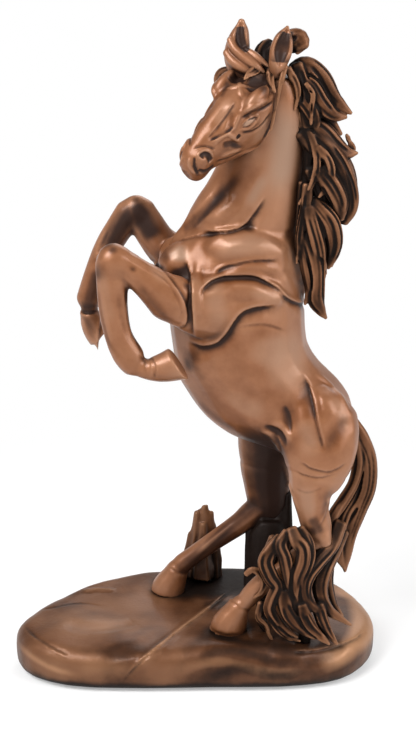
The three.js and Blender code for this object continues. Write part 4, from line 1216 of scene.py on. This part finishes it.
makeHair("middle_mane", "mane_middle", middleMane, 40, 0.1)
makeHair("lower_mane", "mane_lower", lowerMane, 60, 0.1)
makeHair("tail_hair", "tail", tailHair, 80, -0.18)
makeHair("tail_end_hair", "tail_cascade", cascadeHair, 100, 0.15, pins=("cascade_dowel",))


# Ground: an oval mound, with a craggy spire and a stump that carry the far leg

ground = {
    "voxel": 0.75,
    "band": 8.0,
    "room": 6.0,       # free space kept round the casting, and above it
    "roomUp": 8.0,
    "top": 23.7,       # a little under where the hooves stand
    "halfLength": 93.5,
    "halfWidth": 49.5,
    "fall": 2.2,       # how far the top falls to its edge, from which share of the way out
    "fallFrom": 0.55,
    "fallOver": 0.45,
    "stretch": (1.006, 1.0, 1.0),
    "shift": (-0.2, 0.0, 0.0),
    "farRise": 4.6,    # how far the edge behind the horse is raised, from which depth on
    "farFrom": 18.0,
    "farOver": 24.0,
    "mound": 3.0,      # how far the mound of a hind hoof spreads past it
    "moundHalf": 5.0,
    "moundSunk": 4.6,
    "moundBlend": 4.0,
    "round": 10.0,     # how softly the top runs over into the side
    "skin": 1.8,       # smoothing
    "sideRise": 10.0,  # how far the side runs up past the top, before the top is cut to shape
    "riseFrom": 8.0,
    "footBelow": 6.0,  # the foot of the side, spread a little and let down to the floor
    "footSpread": (1.02, 1.02, 1.0),
    "footDrop": 0.6,
    "corner": 2.4,     # how square the oval is
}


groundCores = ["left_hind_rod", "right_hind_rod", "left_rod_nut", "right_rod_nut", "left_rod_washer",
               "right_rod_washer", "cascade_dowel", "spire_dowel", "stump_dowel"]


def makeGround():
    low, high = nodeBox("plinth")
    clay = Clay(low - ground["room"], high + ground["roomUp"], ground["voxel"], ground["band"])
    points, triangles = nodeMesh("plinth")
    points = points * ground["stretch"] + ground["shift"]
    points[points[:, 2] > ground["riseFrom"], 2] += ground["sideRise"]
    foot = points[:, 2] < ground["footBelow"]
    points[foot] *= ground["footSpread"]
    points[foot, 2] -= ground["footDrop"]
    clay.addSkin(points, triangles, 0)
    for name in groundCores:
        clay.addNode(name, 1.0)
    x = clay.axes[0][:, None, None]
    y = clay.axes[1][None, :, None]
    z = clay.axes[2][None, None, :]
    corner = ground["corner"]
    reach = ((np.abs(x) / ground["halfLength"]) ** corner
             + (np.abs(y) / ground["halfWidth"]) ** corner) ** (1 / corner)
    swell = (0.7 * np.sin(x / 17 + 0.6 * np.sin(y / 13)) + 0.5 * np.sin(y / 9 + x / 31)
             + 0.35 * np.sin(x / 6.3 + 1.3 * np.sin(y / 7)))
    farShare = np.clip((y - ground["farFrom"]) / ground["farOver"], 0, 1)
    edgeShare = np.clip((reach - ground["fallFrom"]) / ground["fallOver"], 0, 1.2)
    top = ground["top"] + swell + ground["farRise"] * farShare - ground["fall"] * edgeShare ** 2
    clay.form = -softMin(-clay.form, -(z - top).astype(np.float32), ground["round"])
    for coronet, sole, depth, neckHalf, footHalf in hooves[2:]:  # each hind hoof stands on a low mound
        toe, heel = atDepth([(*sole[0], depth), (*sole[1], depth)])
        half = (abs(heel[0] - toe[0]) / 2 + ground["mound"], footHalf + ground["mound"], ground["moundHalf"])
        clay.addBall((toe + heel) / 2 - (0, 0, ground["moundSunk"]), half, ground["moundBlend"])
    clay.soften(ground["skin"])
    strokes = [  # path, half width, depth (raised when negative), patina and painted shade
        ([(222, 600), (200, 615), (184, 627), (165, 643), (150, 657), (136, 672)], 4.0, -0.9, 0),
        ([(82, 592), (98, 590), (116, 591)], 2.6, -1.0, 0.1),
        ([(60, 622), (100, 628), (140, 622)], 8.0, 0.8, 0.1),
        ([(100, 655), (140, 646), (170, 630)], 7.0, 0.7, 0.1),
        ([(200, 650), (240, 655), (280, 660)], 8.0, 0.8, 0.12),
        ([(345, 640), (330, 655), (300, 664)], 5.0, 0.8, 0.2),
    ]
    for path, width, depth, patinaAndShade in strokes:
        clay.stroke(path, width, depth, patinaAndShade, ends=0.2)
    folds = [  # path, slope, depth, patina and painted shade, lip, and the side that is sunk
        ([(238, 587), (222, 597), (203, 613), (184, 627), (163, 643), (146, 657), (131, 671), (120, 684)],
         2.6, 0.8, 0.2, 0.5, -1),
        ([(22, 622), (32, 635), (50, 647), (70, 657)], 2.6, 0.9, 0.5, 0.4, -1),
        ([(40, 610), (75, 603), (105, 606)], 3.0, 0.6, 0.25, 0.2, 1),
        ([(290, 652), (320, 650), (352, 640), (366, 628)], 3.0, 0.8, 0.2, 0.3, 1),
    ]
    for path, soft, depth, patinaAndShade, lip, side in folds:
        clay.fold(path, soft, depth, patinaAndShade, lip, side, ends=0.15)
    patinaAndShadows = [  # path, half width and amount: patina, and painted shadow behind the hooves and along the foot
        ([(140, 581), (184, 584), (225, 583), (262, 581), (310, 586)], 24, 1.15),
        ([(196, 606), (226, 604), (256, 606)], 9, 0.5),
        ([(196, 630), (230, 640), (265, 646), (300, 650), (330, 640)], 7, 0.6),
        ([(245, 604), (212, 632), (186, 654), (160, 684)], 8, 0.35),
        ([(176, 668), (230, 650), (280, 662), (318, 656)], 5, 0.5),
        ([(196, 682), (240, 668), (280, 676), (312, 668)], 5, 0.5),
        ([(20, 664), (60, 684), (130, 690), (210, 690), (290, 688), (340, 676)], 7, 0.65),
        ([(24, 614), (60, 598), (104, 588)], 5, 0.35),
        ([(50, 640), (90, 652), (120, 646), (150, 630)], 4, 0.25),
    ]
    for path, width, amount in patinaAndShadows:
        clay.paint(clay.seen(spline(path, 4.0)), width, amount, 0.25)
    groundHighlights = [  # painted highlights and sheen: path, half width, and how much paler
        ([(36, 632), (70, 622), (110, 626), (150, 612)], 16, 0.22),
        ([(70, 666), (110, 668), (140, 660)], 8, 0.25),
        ([(330, 580), (352, 594), (366, 618), (356, 650)], 12, 1.6),
        ([(312, 668), (340, 656), (360, 636), (368, 616)], 9, 1.2),
        ([(14, 636), (26, 652), (52, 668), (84, 676)], 2.5, 0.6),
        ([(240, 585), (204, 611), (164, 641), (121, 682)], 1.6, 0.7),
        ([(160, 676), (220, 662), (270, 672), (330, 668)], 4, 0.4),
    ]
    for path, width, amount in groundHighlights:
        clay.tone(path, width, amount)
    return clay


crag = {
    "voxel": 0.5,
    "band": 3.0,
    "core": 1.5,           # how far the core lies under the casting's surface
    "room": 7.0,           # free space kept below and beside it
    "roomUp": (7.0, 10.0, 16.0),
    "rough": 0.25,         # how far a splinter's corners stray
    "ragged": 3.0,
}


def cragSkin(base, tip, depth, baseHalf, tipHalf, sides, dice):  # a leaning many sided splinter
    foot, peak = atDepth([(*base, depth[0]), (*tip, depth[1])])
    turn = 2 * np.pi * (np.arange(sides) + dice.random(sides) * 0.6) / sides
    rings = []
    for share in np.linspace(0, 1, 6):
        half = baseHalf + share * (tipHalf - baseHalf)
        rough = 1 + crag["rough"] * (dice.random(sides) - 0.5)
        ring = np.stack([np.cos(turn) * half * rough, np.sin(turn) * half * 0.75 * rough,
                         (dice.random(sides) - 0.5) * crag["ragged"] * share], axis=1)
        rings.append(foot + share * (peak - foot) + ring)
    return closedRings(np.array(rings))


def makeCrag(node, splinters, seed, dark, soft):
    dice = np.random.default_rng(seed)
    low, high = nodeBox(node)
    clay = Clay(low - crag["room"], high + crag["roomUp"], crag["voxel"], crag["band"])
    clay.addNode(node, 0)
    clay.form = np.minimum(clay.form + crag["core"], clay.band)
    for base, tip, depth, baseHalf, tipHalf, sides in splinters:
        clay.addSkin(*cragSkin(base, tip, depth, baseHalf, tipHalf, sides, dice), 0.4)
    clay.soften(soft)
    clay.patinaAndShade += dark
    trim(clay, [bodyClay])
    return clay


spireSplinters = [  # foot and tip in the photograph, depths there, half widths, sides
    ((201, 575), (205, 506), (35, 35), 9.0, 2.0, 6),
    ((193, 576), (197, 512), (33, 34), 6.5, 2.2, 5),
    ((211, 576), (211, 511), (34, 35), 6.5, 2.0, 5),
    ((186, 578), (190, 532), (35, 35), 5.6, 1.8, 4),
    ((203, 578), (203, 524), (29, 32), 7.0, 2.2, 5),
    ((216, 578), (217, 530), (34, 34), 4.6, 1.6, 4),
    ((196, 577), (201, 508), (36, 36), 6.5, 1.8, 5),
]
stumpSplinters = [
    ((251, 596), (252, 524), (11, 19), 5.6, 4.4, 6),
    ((263, 598), (264, 492), (9, 19), 6.4, 5.0, 6),
    ((273, 598), (274, 484), (10, 22), 6.4, 5.0, 6),
    ((282, 596), (283, 484), (12, 20), 6.0, 4.4, 6),
    ((262, 594), (264, 500), (18, 24), 6.4, 5.0, 6),
    ((290, 596), (288, 492), (14, 16), 4.6, 3.0, 5),
]
spireClay = makeCrag("rock_spire", spireSplinters, seed=7, dark=0.15, soft=0.5)
spirePiece = spireClay.finish("spire", groundFinish, creaseSpread=0.8, hollowSpread=3.0)
place(spirePiece, "copper_ground", "rock_spire")
# the stump is painted near black: painted shade behind the legs
stumpClay = makeCrag("support_stump", stumpSplinters, seed=8, dark=1.6, soft=1.2)
stumpPiece = stumpClay.finish("stump", groundFinish, creaseSpread=0.8, hollowSpread=3.0)
place(stumpPiece, "copper_ground", "support_stump")
groundClay = makeGround()
groundPiece = groundClay.finish("ground", groundFinish, creaseSpread=1.2, hollowSpread=5.0)
place(groundPiece, "copper_ground", "plinth")


# Hidden hardware and felt keep their castings and get finishes of their own

def grainFinish(name, colour, dark, scale, stretch, metallic, roughness):
    material = bpy.data.materials.new(name)
    material.use_nodes = True
    nodes = material.node_tree.nodes
    links = material.node_tree.links
    shader = nodes["Principled BSDF"]
    shader.inputs["Metallic"].default_value = metallic
    spot = nodes.new("ShaderNodeTexCoord")
    fit = nodes.new("ShaderNodeMapping")
    fit.inputs["Scale"].default_value = stretch
    links.new(spot.outputs["Object"], fit.inputs["Vector"])
    grain = nodes.new("ShaderNodeTexNoise")
    grain.inputs["Scale"].default_value = scale
    grain.inputs["Detail"].default_value = 5
    links.new(fit.outputs["Vector"], grain.inputs["Vector"])
    tint = nodes.new("ShaderNodeMix")
    tint.data_type = "RGBA"
    links.new(grain.outputs["Fac"], tint.inputs["Factor"])
    tint.inputs[6].default_value = (*colour, 1)
    tint.inputs[7].default_value = (*dark, 1)
    links.new(tint.outputs[2], shader.inputs["Base Color"])
    rough = nodes.new("ShaderNodeMapRange")
    rough.inputs["To Min"].default_value = roughness - 0.08
    rough.inputs["To Max"].default_value = roughness + 0.08
    links.new(grain.outputs["Fac"], rough.inputs["Value"])
    links.new(rough.outputs["Result"], shader.inputs["Roughness"])
    relief = nodes.new("ShaderNodeBump")
    relief.inputs["Strength"].default_value = 0.3
    relief.inputs["Distance"].default_value = 0.0003
    links.new(grain.outputs["Fac"], relief.inputs["Height"])
    links.new(relief.outputs["Normal"], shader.inputs["Normal"])
    return material


steelFinish = grainFinish("zinc_steel", colour=(0.42, 0.43, 0.45), dark=(0.26, 0.27, 0.29),
                          scale=900.0, stretch=(1, 1, 0.1), metallic=1.0, roughness=0.35)
feltFinish = grainFinish("pressed_felt", colour=(0.03, 0.034, 0.03), dark=(0.012, 0.013, 0.012),
                         scale=1800.0, stretch=(1, 1, 1), metallic=0.0, roughness=0.92)
for name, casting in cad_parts.items():
    if name == "base_felt" or name.endswith(("_rod", "_nut", "_washer", "_dowel")):
        casting.data.materials.clear()
        casting.data.materials.append(feltFinish if name == "base_felt" else steelFinish)
print("hardware finished")


# Camera, lamps, floor and world

studio = {
    "lamps": [  # name, place, size and power, each aimed at the horse's middle
        ("window", (-0.62, -0.6, 1.02), 0.62, 16.0),
        ("fill", (0.9, -0.45, 0.66), 0.7, 8.6),
        ("back", (0.25, 0.95, 0.9), 0.8, 5.0),
    ],
    "middle": (0.0, 0.0, 0.16),
    "floorHalf": 40.0,
    "lowSky": 0.16,            # strength of the world below and above
    "highSky": 0.42,
    "whiteSky": (0.24, 0.16),  # plain white just above the floor's far edge
    "shadowReach": (0.10, 0.34),
    "shadowGlow": 0.35,        # how much the shadow is lightened near the horse
}


def makeStage():
    scene = bpy.context.scene
    scene.view_settings.view_transform = "Standard"
    lens = bpy.data.cameras.new("photo_camera")
    lens.sensor_width = 36.0
    lens.lens = photo["focal"] * lens.sensor_width / photo["height"]
    lens.clip_start = 0.01
    camera = bpy.data.objects.new("photo_camera", lens)
    camera.location = Vector(eye * mm)
    camera.rotation_euler = (math.radians(90) - lookDown, 0, 0)
    scene.collection.objects.link(camera)
    scene.camera = camera

    middle = Vector(studio["middle"])
    for name, spot, size, power in studio["lamps"]:
        lamp = bpy.data.lights.new(name, "AREA")
        lamp.size = size
        lamp.energy = power
        holder = bpy.data.objects.new(name, lamp)
        holder.location = spot
        holder.rotation_euler = (middle - Vector(spot)).to_track_quat("-Z", "Y").to_euler()
        scene.collection.objects.link(holder)

    floorMesh = bpy.data.meshes.new("floor")
    half = studio["floorHalf"]
    corners = [(-half, -half, 0), (half, -half, 0), (half, half, 0), (-half, half, 0)]
    floorMesh.from_pydata(corners, [], [(0, 1, 2, 3)])
    floor = bpy.data.objects.new("floor", floorMesh)
    scene.collection.objects.link(floor)
    floorMesh.materials.append(paperFinish())

    world = bpy.data.worlds.new("studio")
    world.use_nodes = True
    scene.world = world
    nodes = world.node_tree.nodes
    links = world.node_tree.links
    spot = nodes.new("ShaderNodeTexCoord")
    split = nodes.new("ShaderNodeSeparateXYZ")
    links.new(spot.outputs["Generated"], split.inputs[0])
    level = nodes.new("ShaderNodeMapRange")
    level.inputs["From Min"].default_value = -0.1
    level.inputs["From Max"].default_value = 0.9
    level.inputs["To Min"].default_value = studio["lowSky"]
    level.inputs["To Max"].default_value = studio["highSky"]
    links.new(split.outputs["Z"], level.inputs["Value"])
    edge = nodes.new("ShaderNodeMapRange")
    edge.inputs["From Min"].default_value = studio["whiteSky"][0]
    edge.inputs["From Max"].default_value = studio["whiteSky"][1]
    links.new(split.outputs["Z"], edge.inputs["Value"])
    share = nodes.new("ShaderNodeMath")
    share.operation = "MULTIPLY"
    links.new(edge.outputs["Result"], share.inputs[0])
    links.new(viewedRay(nodes, links), share.inputs[1])
    white = nodes.new("ShaderNodeMix")
    white.inputs["B"].default_value = 1.0
    links.new(share.outputs[0], white.inputs["Factor"])
    links.new(level.outputs["Result"], white.inputs["A"])
    nodes["Background"].inputs["Color"].default_value = (1, 1, 1, 1)
    links.new(white.outputs["Result"], nodes["Background"].inputs["Strength"])
    print("stage ready")


def viewedRay(nodes, links):  # 1 for rays that carry a picture of what they meet
    path = nodes.new("ShaderNodeLightPath")
    total = path.outputs["Is Camera Ray"]
    for label in ("Is Glossy Ray", "Is Transmission Ray"):
        either = nodes.new("ShaderNodeMath")
        either.operation = "ADD"
        either.use_clamp = True
        links.new(total, either.inputs[0])
        links.new(path.outputs[label], either.inputs[1])
        total = either.outputs[0]
    return total


def paperFinish():  # a pale floor that keeps the shadow near the horse and is plain white farther off
    paper = bpy.data.materials.new("paper")
    paper.use_nodes = True
    nodes = paper.node_tree.nodes
    links = paper.node_tree.links
    shader = nodes["Principled BSDF"]
    shader.inputs["Base Color"].default_value = (0.95, 0.95, 0.95, 1)
    shader.inputs["Roughness"].default_value = 0.9
    shader.inputs["Specular IOR Level"].default_value = 0.1
    glow = nodes.new("ShaderNodeEmission")
    glow.inputs["Color"].default_value = (1, 1, 1, 1)
    spot = nodes.new("ShaderNodeNewGeometry")
    reach = nodes.new("ShaderNodeVectorMath")
    reach.operation = "LENGTH"
    links.new(spot.outputs["Position"], reach.inputs[0])
    far = nodes.new("ShaderNodeMapRange")
    far.interpolation_type = "SMOOTHSTEP"
    far.inputs["From Min"].default_value = studio["shadowReach"][0]
    far.inputs["From Max"].default_value = studio["shadowReach"][1]
    far.inputs["To Min"].default_value = studio["shadowGlow"]
    links.new(reach.outputs["Value"], far.inputs["Value"])
    share = nodes.new("ShaderNodeMath")
    share.operation = "MULTIPLY"
    links.new(far.outputs["Result"], share.inputs[0])
    links.new(viewedRay(nodes, links), share.inputs[1])
    blend = nodes.new("ShaderNodeMixShader")
    links.new(share.outputs[0], blend.inputs[0])
    links.new(shader.outputs[0], blend.inputs[1])
    links.new(glow.outputs[0], blend.inputs[2])
    links.new(blend.outputs[0], nodes["Material Output"].inputs["Surface"])
    return paper


makeStage()
